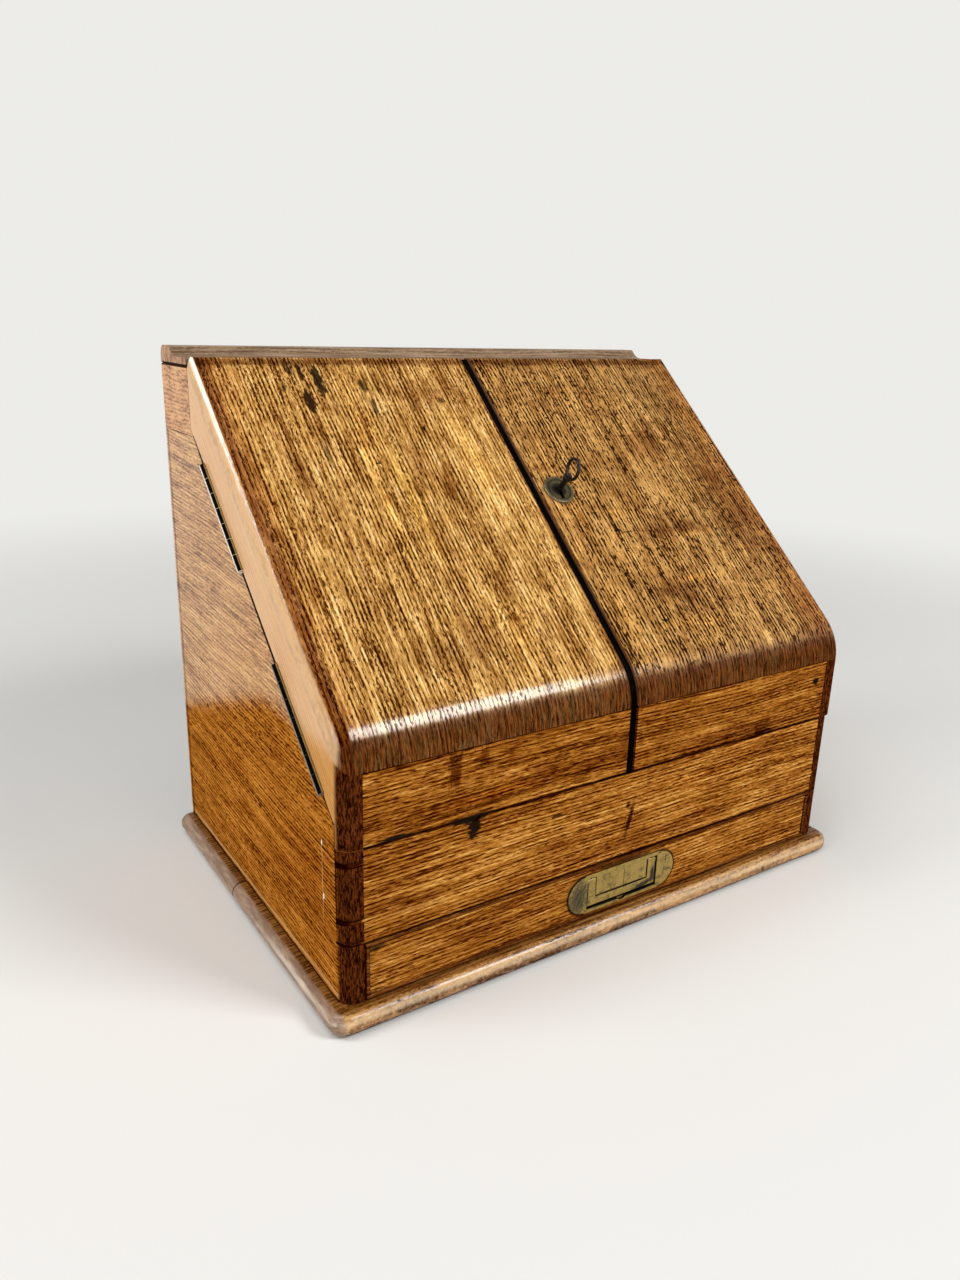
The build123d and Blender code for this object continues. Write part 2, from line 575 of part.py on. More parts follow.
left_board, left_strip, left_cheek = door_pieces(LEFT_INNER_X + HALF_W, LEFT_DOOR_EDGE_R)
right_board, right_strip, right_cheek = [
    mirrored(p) for p in door_pieces(HALF_W - RIGHT_INNER_X, RIGHT_DOOR_EDGE_R)]
right_board -= keyhole(SLOPE_BOARD_T + 1)
write("door_board_left", left_board)
write("door_front_left", left_strip)
write("door_cheek_left", left_cheek)
write("door_front_right", right_strip)
write("door_cheek_right", right_cheek)

# black slip on the left door's edge, sunk a little below the faces; the bolt enters its slot
slip_inside = outline_yz((Y_FRONT + SLIP_FRONT_DEPTH, 0), (Y_FRONT + SLIP_FRONT_DEPTH,
                         slope_z(Y_FRONT + SLIP_FRONT_DEPTH, SLIP_DEPTH)),
                         (Y_BACK, slope_z(Y_BACK, SLIP_DEPTH)), (Y_BACK, 0))
slip_face = offset(door_face, -SLIP_SINK, kind=Kind.INTERSECTION) - slip_inside
slip = prism(slip_face, LEFT_INNER_X, LEFT_INNER_X + SLIP_T)
bolt_slot = lock_frame * board(-FAR, -LOCK_LEFT, BOLT_LOW - BOLT_CLEAR, BOLT_HIGH + BOLT_CLEAR,
                               BOLT_BACK - BOLT_CLEAR, BOLT_BACK + BOLT_T + BOLT_CLEAR)
slip_right = LEFT_INNER_X + SLIP_T - KEY_X
strike_middle = BOLT_LOW + BOLT_H / 2
strike_z = BOLT_BACK + BOLT_T / 2
strike = lock_frame * board(slip_right - STRIKE_T, slip_right,
                            strike_middle - STRIKE_LENGTH / 2, strike_middle + STRIKE_LENGTH / 2,
                            strike_z - STRIKE_HEIGHT / 2, strike_z + STRIKE_HEIGHT / 2)
slip -= strike
slip -= bolt_slot
strike -= bolt_slot
write("meeting_slip", slip)
write("strike_plate", strike)

# ---------------------------------------------------------------- lock, key and escutcheon
lock_case = board(-LOCK_LEFT, LOCK_RIGHT, -LOCK_DOWN, LOCK_UP, LOCK_BACK, LOCK_TOP)
lock_case -= board(-LOCK_LEFT + LOCK_WALL, LOCK_RIGHT - LOCK_WALL, -LOCK_DOWN + LOCK_WALL,
                   LOCK_UP - LOCK_WALL, LOCK_BACK + LOCK_WALL, LOCK_TOP)
lock_case -= board(-FAR, 0, BOLT_LOW - BOLT_CLEAR, BOLT_HIGH + BOLT_CLEAR,
                   BOLT_BACK - BOLT_CLEAR, BOLT_BACK + BOLT_T + BOLT_CLEAR)
lug_places = [(x, -LOCK_DOWN - SCREW_HEAD_R) for x in (-LOCK_LEFT / 2, LOCK_RIGHT / 2)]
lug_places += [(x, LOCK_UP + SCREW_HEAD_R) for x in (-LOCK_LEFT / 2, LOCK_RIGHT / 2)]
lock_screws = []
for x, y in lug_places:
    lug = Pos(x, y, LOCK_TOP - LOCK_WALL / 2) * Cylinder(2 * SCREW_HEAD_R, LOCK_WALL)
    lug -= board(-FAR, FAR, -LOCK_DOWN + LOCK_WALL / 2, LOCK_UP - LOCK_WALL / 2, -FAR, FAR)
    lock_case += lug
    place = Pos(x, y, LOCK_TOP - LOCK_WALL + HEAD_SINK) * Rot(180, 0, 0)
    lock_case -= place * small_screw_hole()
    lock_screws.append(lock_frame * place * screw(SCREW_HEAD_R, SCREW_SHANK_R, LOCK_SCREW_LENGTH))
    right_board -= lock_frame * place * small_screw_hole()
write("lock_case", lock_frame * lock_case)
write("lock_screws", *lock_screws)
write("door_board_right", right_board)

bolt = board(-LOCK_LEFT, -LOCK_LEFT + BOLT_LENGTH, BOLT_LOW, BOLT_HIGH, BOLT_BACK,
             BOLT_BACK + BOLT_T)
write("lock_bolt", lock_frame * chamfer(bolt.edges().filter_by(Axis.Z).group_by(Axis.X)[0], ARRIS))

escutcheon = Pos(0, 0, ESCUTCHEON_T / 2) * Cylinder(ESCUTCHEON_R, ESCUTCHEON_T)
escutcheon = fillet(escutcheon.edges().sort_by(Axis.Z)[-1], ESCUTCHEON_T / 2)
dish = Pos(0, 0, ESCUTCHEON_T) * Cylinder(ESCUTCHEON_R - ESCUTCHEON_RIM, 2 * ESCUTCHEON_DISH)
escutcheon -= dish
write("escutcheon", lock_frame * escutcheon - keyhole(SLOPE_BOARD_T))

# the key: its bit points down the slope, turned a little out of the keyhole's slot
KEY_END = LOCK_BACK + LOCK_WALL + BOLT_CLEAR
stem_length = KEY_STEM_OUT - KEY_END
key = Pos(0, 0, KEY_END + stem_length / 2) * Cylinder(KEY_STEM_R, stem_length)
collar = Pos(0, 0, KEY_STEM_OUT - KEY_COLLAR_H / 2) * Cylinder(KEY_COLLAR_R, KEY_COLLAR_H)
key += fillet(collar.edges().filter_by(GeomType.CIRCLE), ARRIS)
bow_z = KEY_STEM_OUT + KEY_BOW_R
key += Pos(0, 0, bow_z) * Rot(0, 90, 0) * Torus(KEY_BOW_R, KEY_BOW_WIRE_R)
bit_z = KEY_END + KEY_TIP
bit = board(-KEY_BIT_T / 2, KEY_BIT_T / 2, -KEY_BIT_R, 0, bit_z, bit_z + KEY_BIT_H)
bit -= board(-FAR, FAR, -FAR, -KEY_BIT_R + KEY_WARD_DEPTH, bit_z + KEY_WARD_FROM,
             bit_z + KEY_WARD_FROM + KEY_WARD_W)
key += bit
write("key", lock_frame * Rot(0, 0, -KEY_SLOT_TILT) * key)

# ---------------------------------------------------------------- drawer
DRAWER_X = INNER_X - DRAWER_SIDE_CLEAR
DRAWER_INSIDE_X = DRAWER_X - DRAWER_SIDE_T
Z_DRAWER = BASE_T + DRAWER_LIFT
Z_DRAWER_TOP = Z_RAIL - DRAWER_TOP_CLEAR
Z_DRAWER_BOTTOM = Z_DRAWER + DRAWER_BOTTOM_RISE
Z_DRAWER_FLOOR = Z_DRAWER_BOTTOM + DRAWER_BOTTOM_T
Y_DRAWER_FRONT_BACK = Y_FRONT + DRAWER_FRONT_T
Y_DRAWER_END = Y_BACK_PANEL - DRAWER_BACK_CLEAR
Y_BEAD = Y_FRONT - BEAD_PROUD
Y_BEAD_BACK = Y_FRONT + BEAD_DEPTH

tail_bars = []
for height in TAIL_HEIGHTS:
    z = Z_DRAWER + height
    tail = outline_yz((Y_DRAWER_FRONT_BACK, z - TAIL_ROOT_H / 2),
                      (Y_DRAWER_FRONT_BACK, z + TAIL_ROOT_H / 2),
                      (Y_DRAWER_FRONT_BACK - TAIL_LENGTH, z + TAIL_TIP_H / 2),
                      (Y_DRAWER_FRONT_BACK - TAIL_LENGTH, z - TAIL_TIP_H / 2))
    tail_bars.append(prism(tail, -DRAWER_X, -DRAWER_INSIDE_X))
    tail_bars.append(prism(tail, DRAWER_INSIDE_X, DRAWER_X))

bottom_board = board(-DRAWER_INSIDE_X - DRAWER_GROOVE, DRAWER_INSIDE_X + DRAWER_GROOVE,
                     Y_DRAWER_FRONT_BACK - DRAWER_GROOVE, Y_DRAWER_END,
                     Z_DRAWER_BOTTOM, Z_DRAWER_FLOOR)
write("drawer_bottom", bottom_board)

drawer_side = board(-DRAWER_X, -DRAWER_INSIDE_X, Y_DRAWER_FRONT_BACK, Y_DRAWER_END,
                    Z_DRAWER, Z_DRAWER + DRAWER_SIDE_H)
drawer_side += tail_bars[::2]
drawer_side -= bottom_board
write("drawer_side_left", drawer_side)
write("drawer_side_right", mirrored(drawer_side))
write("drawer_back", board(-DRAWER_INSIDE_X, DRAWER_INSIDE_X, Y_DRAWER_END - DRAWER_SIDE_T,
                           Y_DRAWER_END, Z_DRAWER_FLOOR, Z_DRAWER_FLOOR + DRAWER_BACK_H))

# cock beads, mitred at the corners, let into a rebate round the drawer front
bead_corners = [(-DRAWER_X, Z_DRAWER), (DRAWER_X, Z_DRAWER), (DRAWER_X, Z_DRAWER_TOP),
                (-DRAWER_X, Z_DRAWER_TOP)]
bead_inner = [(x - math.copysign(BEAD_T, x), z + (BEAD_T if z == Z_DRAWER else -BEAD_T))
              for x, z in bead_corners]
beads = []
for i, name in enumerate(("bottom", "right", "top", "left")):
    j = (i + 1) % 4
    face = make_face(Polyline(bead_corners[i], bead_corners[j], bead_inner[j], bead_inner[i],
                              close=True))
    bead = extrude(Plane.XZ.offset(-Y_BEAD_BACK) * face, amount=Y_BEAD_BACK - Y_BEAD)
    front_edges = bead.faces().sort_by(Axis.Y)[0].edges().sort_by(SortBy.LENGTH)[-2:]
    beads.append(fillet(front_edges, BEAD_T / 3))
    write(f"cock_bead_{name}", beads[-1])

# ---------------------------------------------------------------- flush pull with its bail
Z_PULL = Z_RAIL - PULL_FROM_TOP
Y_PLATE = Y_FRONT - PLATE_PROUD
pull_frame = Plane(origin=(PULL_X, Y_PLATE, Z_PULL), x_dir=(1, 0, 0), z_dir=(0, 1, 0))
# in this frame x is to the right, y is down and z goes into the drawer front
lobe_x = PLATE_STRAIGHT / 2
plate_face = Rectangle(PLATE_STRAIGHT, PLATE_H)
plate_face += [Pos(side * lobe_x, 0) * Circle(PLATE_LOBE_R) for side in (-1, 1)]
plate = extrude(plate_face, amount=PLATE_T)
pan_outside = board(-PAN_W / 2 - PAN_WALL, PAN_W / 2 + PAN_WALL, -PAN_H / 2 - PAN_WALL,
                    PAN_H / 2 + PAN_WALL, 0, PAN_DEPTH + PAN_WALL)
pull_tool = plate + pan_outside
plate = pull_tool - board(-PAN_W / 2, PAN_W / 2, -PAN_H / 2, PAN_H / 2, 0, PAN_DEPTH)
notch_y = PAN_H / 2 - FINGER_NOTCH_R + FINGER_NOTCH_DEPTH
plate -= Pos(0, notch_y, 0) * Cylinder(FINGER_NOTCH_R, 2 * PLATE_T)

BAIL_W = PAN_W - 2 * BAIL_SIDE_CLEAR
axis_y = -PAN_H / 2 + BAIL_AXIS_DROP
axis_z = BAIL_AXIS_BACK
bail_low = PAN_H / 2 - BAIL_END_CLEAR
trunnion_length = PAN_W + 2 * TRUNNION_IN
trunnion = Pos(0, axis_y, axis_z) * Rot(0, 90, 0) * Cylinder(TRUNNION_R, trunnion_length)
trunnion_bore = Pos(0, axis_y, axis_z) * Rot(0, 90, 0) * Cylinder(
    TRUNNION_R + TRUNNION_FIT, trunnion_length + TRUNNION_FIT)
plate -= trunnion_bore
inside_half = BAIL_W / 2 - BAIL_LEG_W
panel_half = inside_half - PAN_PANEL_CLEAR
plate += board(-panel_half, panel_half, -PAN_H / 2 - PAN_WALL / 2,
               bail_low - BAIL_BAR_H - PAN_PANEL_CLEAR, PAN_PANEL_BACK, PAN_DEPTH + PAN_WALL / 2)
bail = board(-BAIL_W / 2, BAIL_W / 2, axis_y, bail_low, axis_z - BAIL_T / 2, axis_z + BAIL_T / 2)
bail += Pos(0, axis_y, axis_z) * Rot(0, 90, 0) * Cylinder(BAIL_T / 2, BAIL_W)
bail -= board(-inside_half, inside_half, -FAR, bail_low - BAIL_BAR_H, -FAR, FAR)
low_edges = bail.edges().filter_by(Axis.X).sort_by(Axis.Y)[-2:]
bail = chamfer(low_edges, ARRIS)
bail += trunnion & (board(-FAR, -inside_half - BAIL_LEG_W / 2, -FAR, FAR, -FAR, FAR)
                    + board(inside_half + BAIL_LEG_W / 2, FAR, -FAR, FAR, -FAR, FAR))
write("pull_bail", pull_frame * bail)

pull_pins = []
for side in (-1, 1):
    place = Pos(side * PULL_PIN_OUT, 0, HEAD_SINK)
    pull_pins.append(pull_frame * place * Pos(0, 0, PULL_PIN_LENGTH / 2)
                     * Cylinder(PULL_PIN_R, PULL_PIN_LENGTH))
pin_holes = [pull_frame * Pos(side * PULL_PIN_OUT, 0, 0)
             * Cylinder(PULL_PIN_R + SCREW_FIT, 2 * PULL_PIN_LENGTH + 1) for side in (-1, 1)]
pull_plate = pull_frame * plate
pull_plate -= pin_holes
write("pull_plate", pull_plate)
write("pull_pins", *pull_pins)

drawer_front = board(-DRAWER_X, DRAWER_X, Y_FRONT, Y_DRAWER_FRONT_BACK, Z_DRAWER, Z_DRAWER_TOP)
drawer_front -= board(-FAR, FAR, -FAR, Y_BEAD_BACK, -FAR, FAR) - board(
    -DRAWER_X + BEAD_T, DRAWER_X - BEAD_T, -FAR, FAR, Z_DRAWER + BEAD_T, Z_DRAWER_TOP - BEAD_T)
drawer_front -= tail_bars
drawer_front -= bottom_board
drawer_front -= pull_frame * pull_tool
drawer_front -= pin_holes
write("drawer_front", drawer_front)

stop_w, stop_d, stop_h = STOP_SIZE
stop_y = Y_DRAWER_FRONT_BACK + STOP_CLEAR
write("drawer_stops", *[board(side * STOP_X - stop_w / 2, side * STOP_X + stop_w / 2, stop_y,
                              stop_y + stop_d, BASE_T, BASE_T + stop_h) for side in (-1, 1)])
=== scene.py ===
"""Finishes, fittings and studio for a sloping-front oak letter box.

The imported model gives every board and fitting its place. This script dresses them: each board
gets a solid oak finish whose grain runs through the board, each metal piece a worn finish.
"""

import logging
import math
from dataclasses import dataclass, field, replace
from enum import Enum
from typing import Optional, Sequence, Union

import bpy
import bmesh
from mathutils import Matrix, Vector

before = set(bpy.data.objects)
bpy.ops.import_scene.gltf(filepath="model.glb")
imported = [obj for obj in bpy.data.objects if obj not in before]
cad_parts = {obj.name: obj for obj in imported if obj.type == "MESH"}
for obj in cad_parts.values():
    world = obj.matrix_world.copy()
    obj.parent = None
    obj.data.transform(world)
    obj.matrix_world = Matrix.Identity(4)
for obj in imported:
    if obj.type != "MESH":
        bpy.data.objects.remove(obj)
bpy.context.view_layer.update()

LOG = logging.getLogger("letter_box")
MM = 0.001

Pair = tuple[float, float]
Triple = tuple[float, float, float]
Tones = tuple[Triple, ...]
Material = bpy.types.Material
Socket = bpy.types.NodeSocket
Feed = Union[Socket, float, Sequence[float]]

# Places and directions on the box. LOCK is across and down the slope, PULL_END is the distance
# from the middle of the pull to the middle of each of its round ends.
SLOPE_ANGLE = math.radians(41.495)
HINGE_ANGLE = math.radians(42.21815)
DOWN_SLOPE: Triple = (0, -math.cos(SLOPE_ANGLE), -math.sin(SLOPE_ANGLE))
OFF_SLOPE: Triple = (0, -math.sin(SLOPE_ANGLE), math.cos(SLOPE_ANGLE))
SLOPE_TOP: Triple = (0, 75, 339.5)
FRONT_FACE: Triple = (0, -123, 0)
SIDE_X = 190
LOCK = (21.2, 119.5)
PULL_X = 3.5
PULL_Z = 30.5
PULL_END = 30.5
BASE_JOINT = 23.5

# Reach of a stain that has no end, and shift of the pattern for each whole seed.
ANYWHERE = 1e5
SEED_STEP: Triple = (37.1, 53.3, 211.7)

# The sides keep their polish above a line that rises to the front, and above a level one; below
# both their colour is painted darker, as shade.
POLISH_LINE_SLANT = 0.369
POLISH_LINE_RISING = (139, 160)
POLISH_LINE_LEVEL = (150, 168)


class Graph:
    """The node tree of a material or of the world, with short calls for its nodes.

    Places and sizes are in millimetres of the row frame at rest.
    """

    def __init__(self, name: str, world: bool = False) -> None:
        """Make an empty material or world.

        Args:
            name: its name.
            world: whether it is the world.
        """
        self.owner = (bpy.data.worlds if world else bpy.data.materials).new(name)
        self.owner.use_nodes = True
        self.tree = self.owner.node_tree
        self.tree.nodes.clear()
        self.output = self.add(f"Output{'World' if world else 'Material'}")
        coordinates = self.add("TexCoord")
        self.place = self.vector("SCALE", coordinates.outputs["Object"], scale=1 / MM)
        self.facing = coordinates.outputs["Normal"]
        self.grits: dict[Pair, Socket] = {}

    def add(self, kind: str, values: Optional[dict] = None, **settings: object) -> bpy.types.Node:
        """Add a node.

        Args:
            kind: Blender's name of the node type, without its ShaderNode.
            values: what feeds its sockets, by socket name.
            settings: its properties.

        Returns:
            The new node.
        """
        node = self.tree.nodes.new(f"ShaderNode{kind}")
        for key, value in settings.items():
            setattr(node, key, value)
        for key, value in (values or {}).items():
            self.feed(node.inputs[key], value)
        return node

    def feed(self, socket: Socket, value: Feed) -> None:
        """Link a socket to another one, or set its own value.

        Args:
            socket: the input socket.
            value: an output socket or a constant.
        """
        if isinstance(value, Socket):
            self.tree.links.new(value, socket)
        else:
            socket.default_value = value

    def math(self, operation: str, first: Feed, second: Feed = 0) -> Socket:
        """A number worked out from one or two others by one of Blender's operations."""
        node = self.add("Math", {0: first, 1: second}, operation=operation)
        return node.outputs[0]

    def vector(self, operation: str, first: Feed, second: Feed = (0, 0, 0),
               scale: Feed = 1) -> Socket:
        """A vector worked out from one or two others.

        Args:
            operation: name of the operation.
            first: first vector.
            second: second vector, where the operation has one.
            scale: the factor of a SCALE operation.

        Returns:
            The resulting vector, or number for DOT_PRODUCT and LENGTH.
        """
        node = self.add("VectorMath", operation=operation)
        self.feed(node.inputs[0], first)
        self.feed(node.inputs[1], second)
        if operation == "SCALE":
            self.feed(node.inputs["Scale"], scale)
        return node.outputs["Value" if operation in ("DOT_PRODUCT", "LENGTH") else "Vector"]

    def noise(self, at: Feed, size: Union[float, Triple], detail: float = 2,
              roughness: float = 0.5, colour: bool = False) -> Socket:
        """Soft noise with features of a given size.

        Args:
            at: where it is read.
            size: size of its features, the same all ways or one for each.
            detail: how many finer layers it has.
            roughness: how strong these are.
            colour: whether it is three noises in one.

        Returns:
            The noise, around 0.5.
        """
        sizes = size if isinstance(size, tuple) else (size,) * 3
        scaled = self.vector("MULTIPLY", at, tuple(1 / s for s in sizes))
        node = self.add("TexNoise", {
            "Vector": scaled, "Scale": 1, "Detail": detail, "Roughness": roughness})
        return node.outputs["Color" if colour else 0]

    def rows(self, at: Feed, pitch: float, sway: float = 7) -> Socket:
        """Nearly even rows that run along the grain.

        Args:
            at: the place on the board.
            pitch: distance from row to row.
            sway: how far their spacing drifts, in radians.

        Returns:
            The rows, 0 to 1.
        """
        across = self.vector("DOT_PRODUCT", at, (math.tau / pitch, 0, 0))
        drift = self.noise(at, (5 * pitch, 30, 160), 1)
        wave = self.math("SINE", self.total([(across, 1), (drift, sway)]))
        return self.total([(wave, 0.5)], 0.75)

    def facing_share(self, direction: Triple) -> Socket:
        """How squarely the surface faces a direction or its opposite, 0 to 1."""
        unit = tuple(Vector(direction).normalized())
        return self.math("ABSOLUTE", self.vector("DOT_PRODUCT", self.facing, unit))

    def grit(self, at: Feed, size: Pair) -> Socket:
        """The unevenness of a stain's outline, made once for each size.

        Args:
            at: the place on the board.
            size: its size across and along the grain.

        Returns:
            The noise, around 0.5.
        """
        if size not in self.grits:
            self.grits[size] = self.noise(at, (size[0], size[0], size[1]), 2, 0.6)
        return self.grits[size]

    def fade(self, value: Feed, start: float, end: float, low: float = 0,
             high: float = 1) -> Socket:
        """A smooth step, from low where the value is start to high where it is end."""
        node = self.add("MapRange", {
            "Value": value, "From Min": start, "From Max": end, "To Min": low, "To Max": high},
            interpolation_type="SMOOTHSTEP")
        return node.outputs[0]

    def mix(self, share: Feed, first: Feed, second: Feed, mode: str = "MIX") -> Socket:
        """One colour laid over another.

        Args:
            share: how much of the second shows.
            first: the colour below.
            second: the colour above.
            mode: how they combine.

        Returns:
            The mixed colour.
        """
        node = self.add("Mix", data_type="RGBA", blend_type=mode)
        self.feed(node.inputs[0], share)
        for socket, colour in ((node.inputs[6], first), (node.inputs[7], second)):
            self.feed(socket, colour if isinstance(colour, Socket) else (*colour, 1))
        return node.outputs[2]

    def ramp(self, value: Feed, stops: Sequence[tuple[float, Triple]]) -> Socket:
        """A colour looked up along a row of stops.

        Args:
            value: where it is looked up, 0 to 1.
            stops: places and colours.

        Returns:
            The colour.
        """
        node = self.add("ValToRGB", {"Fac": value})
        elements = node.color_ramp.elements
        while len(elements) < len(stops):
            elements.new(0.5)
        for element, (position, colour) in zip(elements, stops):
            element.position = position
            element.color = (*colour, 1)
        return node.outputs[0]

    def total(self, terms: Sequence[tuple[Feed, float]], start: float = 0) -> Socket:
        """A weighted sum of noises, each counted from its middle of 0.5.

        Args:
            terms: the noises and their weights.
            start: value of the sum where every noise is at its middle.

        Returns:
            The sum.
        """
        result: Feed = start - sum(0.5 * weight for _, weight in terms)
        for term, weight in terms:
            node = self.add("Math", operation="MULTIPLY_ADD")
            for socket, value in zip(node.inputs, (term, weight, result)):
                self.feed(socket, value)
            result = node.outputs[0]
        return result

    def bump(self, height: Feed, depth: float) -> Socket:
        """The surface normal of a height, where a height of 1 is as deep as depth."""
        return self.add("Bump", {"Height": height, "Distance": depth * MM}).outputs[0]

    def close(self, shader: bpy.types.Node) -> Union[Material, bpy.types.World]:
        """Send a shader to the output, and give back the material or world."""
        self.feed(self.output.inputs[0], shader.outputs[0])
        return self.owner

    def finish(self, **values: Feed) -> Material:
        """Close the material with one Principled shader.

        Args:
            values: what feeds its sockets, with underscores for spaces.

        Returns:
            The material.
        """
        shader = self.add("BsdfPrincipled")
        for key, value in values.items():
            socket = shader.inputs[key.replace("_", " ")]
            if isinstance(value, tuple) and len(value) == 3 and socket.type == "RGBA":
                value = (*value, 1)
            self.feed(socket, value)
        return self.close(shader)


@dataclass(frozen=True)
class Grain:
    """How a board was cut: the frame in which its grain and stains are placed.

    Attributes:
        along: direction of the grain.
        out: normal of the board's face.
        origin: where the frame starts, in millimetres.
    """

    along: Triple
    out: Triple
    origin: Triple = (0, 0, 0)

    def turn(self) -> Matrix:
        """The matrix from the row frame to (across, out, along)."""
        along, out = Vector(self.along).normalized(), Vector(self.out).normalized()
        return Matrix((out.cross(along), out, along))

    def coordinates(self, graph: Graph) -> Socket:
        """The place on the board: across, out and along, in millimetres."""
        moved = graph.vector("SUBTRACT", graph.place, self.origin)
        turn = self.turn().to_euler()
        return graph.add("Mapping", {"Vector": moved, "Rotation": turn}).outputs[0]


class Side(Enum):
    """A side of the box, with its sign along x."""

    LEFT = -1
    RIGHT = 1

    @property
    def word(self) -> str:
        """Its word in the names of nodes."""
        return self.name.lower()


class Lay(Enum):
    """How a stain combines with what is under it."""

    TINT = "MULTIPLY"
    PAINT = "MIX"


@dataclass(frozen=True)
class Stain:
    """A soft patch of another tone, placed across and along the grain in millimetres.

    Attributes:
        across: middle of the patch across the grain.
        along: middle of the patch along the grain.
        reach: half its size across and along.
        tint: the tone that it takes the colour to, or multiplies it by.
        soft: the share of its reach over which it fades.
        ragged: how uneven its outline is.
        grit: size of the unevenness across and along.
        turn: how far it is turned in the face of the board, in degrees.
        lay: how it combines with the colour.
        strength: how much of it shows in its middle.
        bar: whether it is a bar, rather than an oval.
        sides_only: whether it leaves the faces that don't look sideways.
    """

    across: float
    along: float
    reach: Pair
    tint: Triple
    soft: float = 0.6
    ragged: float = 0.8
    grit: Pair = (2.5, 9)
    turn: float = 0
    lay: Lay = Lay.TINT
    strength: float = 1
    bar: bool = False
    sides_only: bool = False

    def put(self, graph: Graph, at: Socket, colour: Socket) -> Socket:
        """Lay the patch over a colour.

        Args:
            graph: the nodes.
            at: the place on the board, across, out and along.
            colour: the colour below.

        Returns:
            The stained colour.
        """
        spot = graph.add("Mapping", {
            "Vector": at, "Location": (self.across, 0, self.along),
            "Rotation": (0, math.radians(self.turn), 0),
            "Scale": (self.reach[0], ANYWHERE, self.reach[1])}, vector_type="TEXTURE").outputs[0]
        if self.bar:
            sides = graph.add("SeparateXYZ", {0: graph.vector("ABSOLUTE", spot)}).outputs
            distance = graph.math("MAXIMUM", sides[0], sides[2])
        else:
            distance = graph.vector("LENGTH", spot)
        distance = graph.math("ADD", distance, graph.total(
            [(graph.grit(at, self.grit), 2 * self.ragged)]))
        share = graph.fade(distance, 1, 1 - self.soft, 0, self.strength)
        if self.sides_only:
            sideways = graph.facing_share((1, 0, 0))
            share = graph.math("MULTIPLY", share, graph.fade(sideways, 0.3, 0.5))
        return graph.mix(share, colour, self.tint, self.lay.value)


Stains = tuple[Stain, ...]


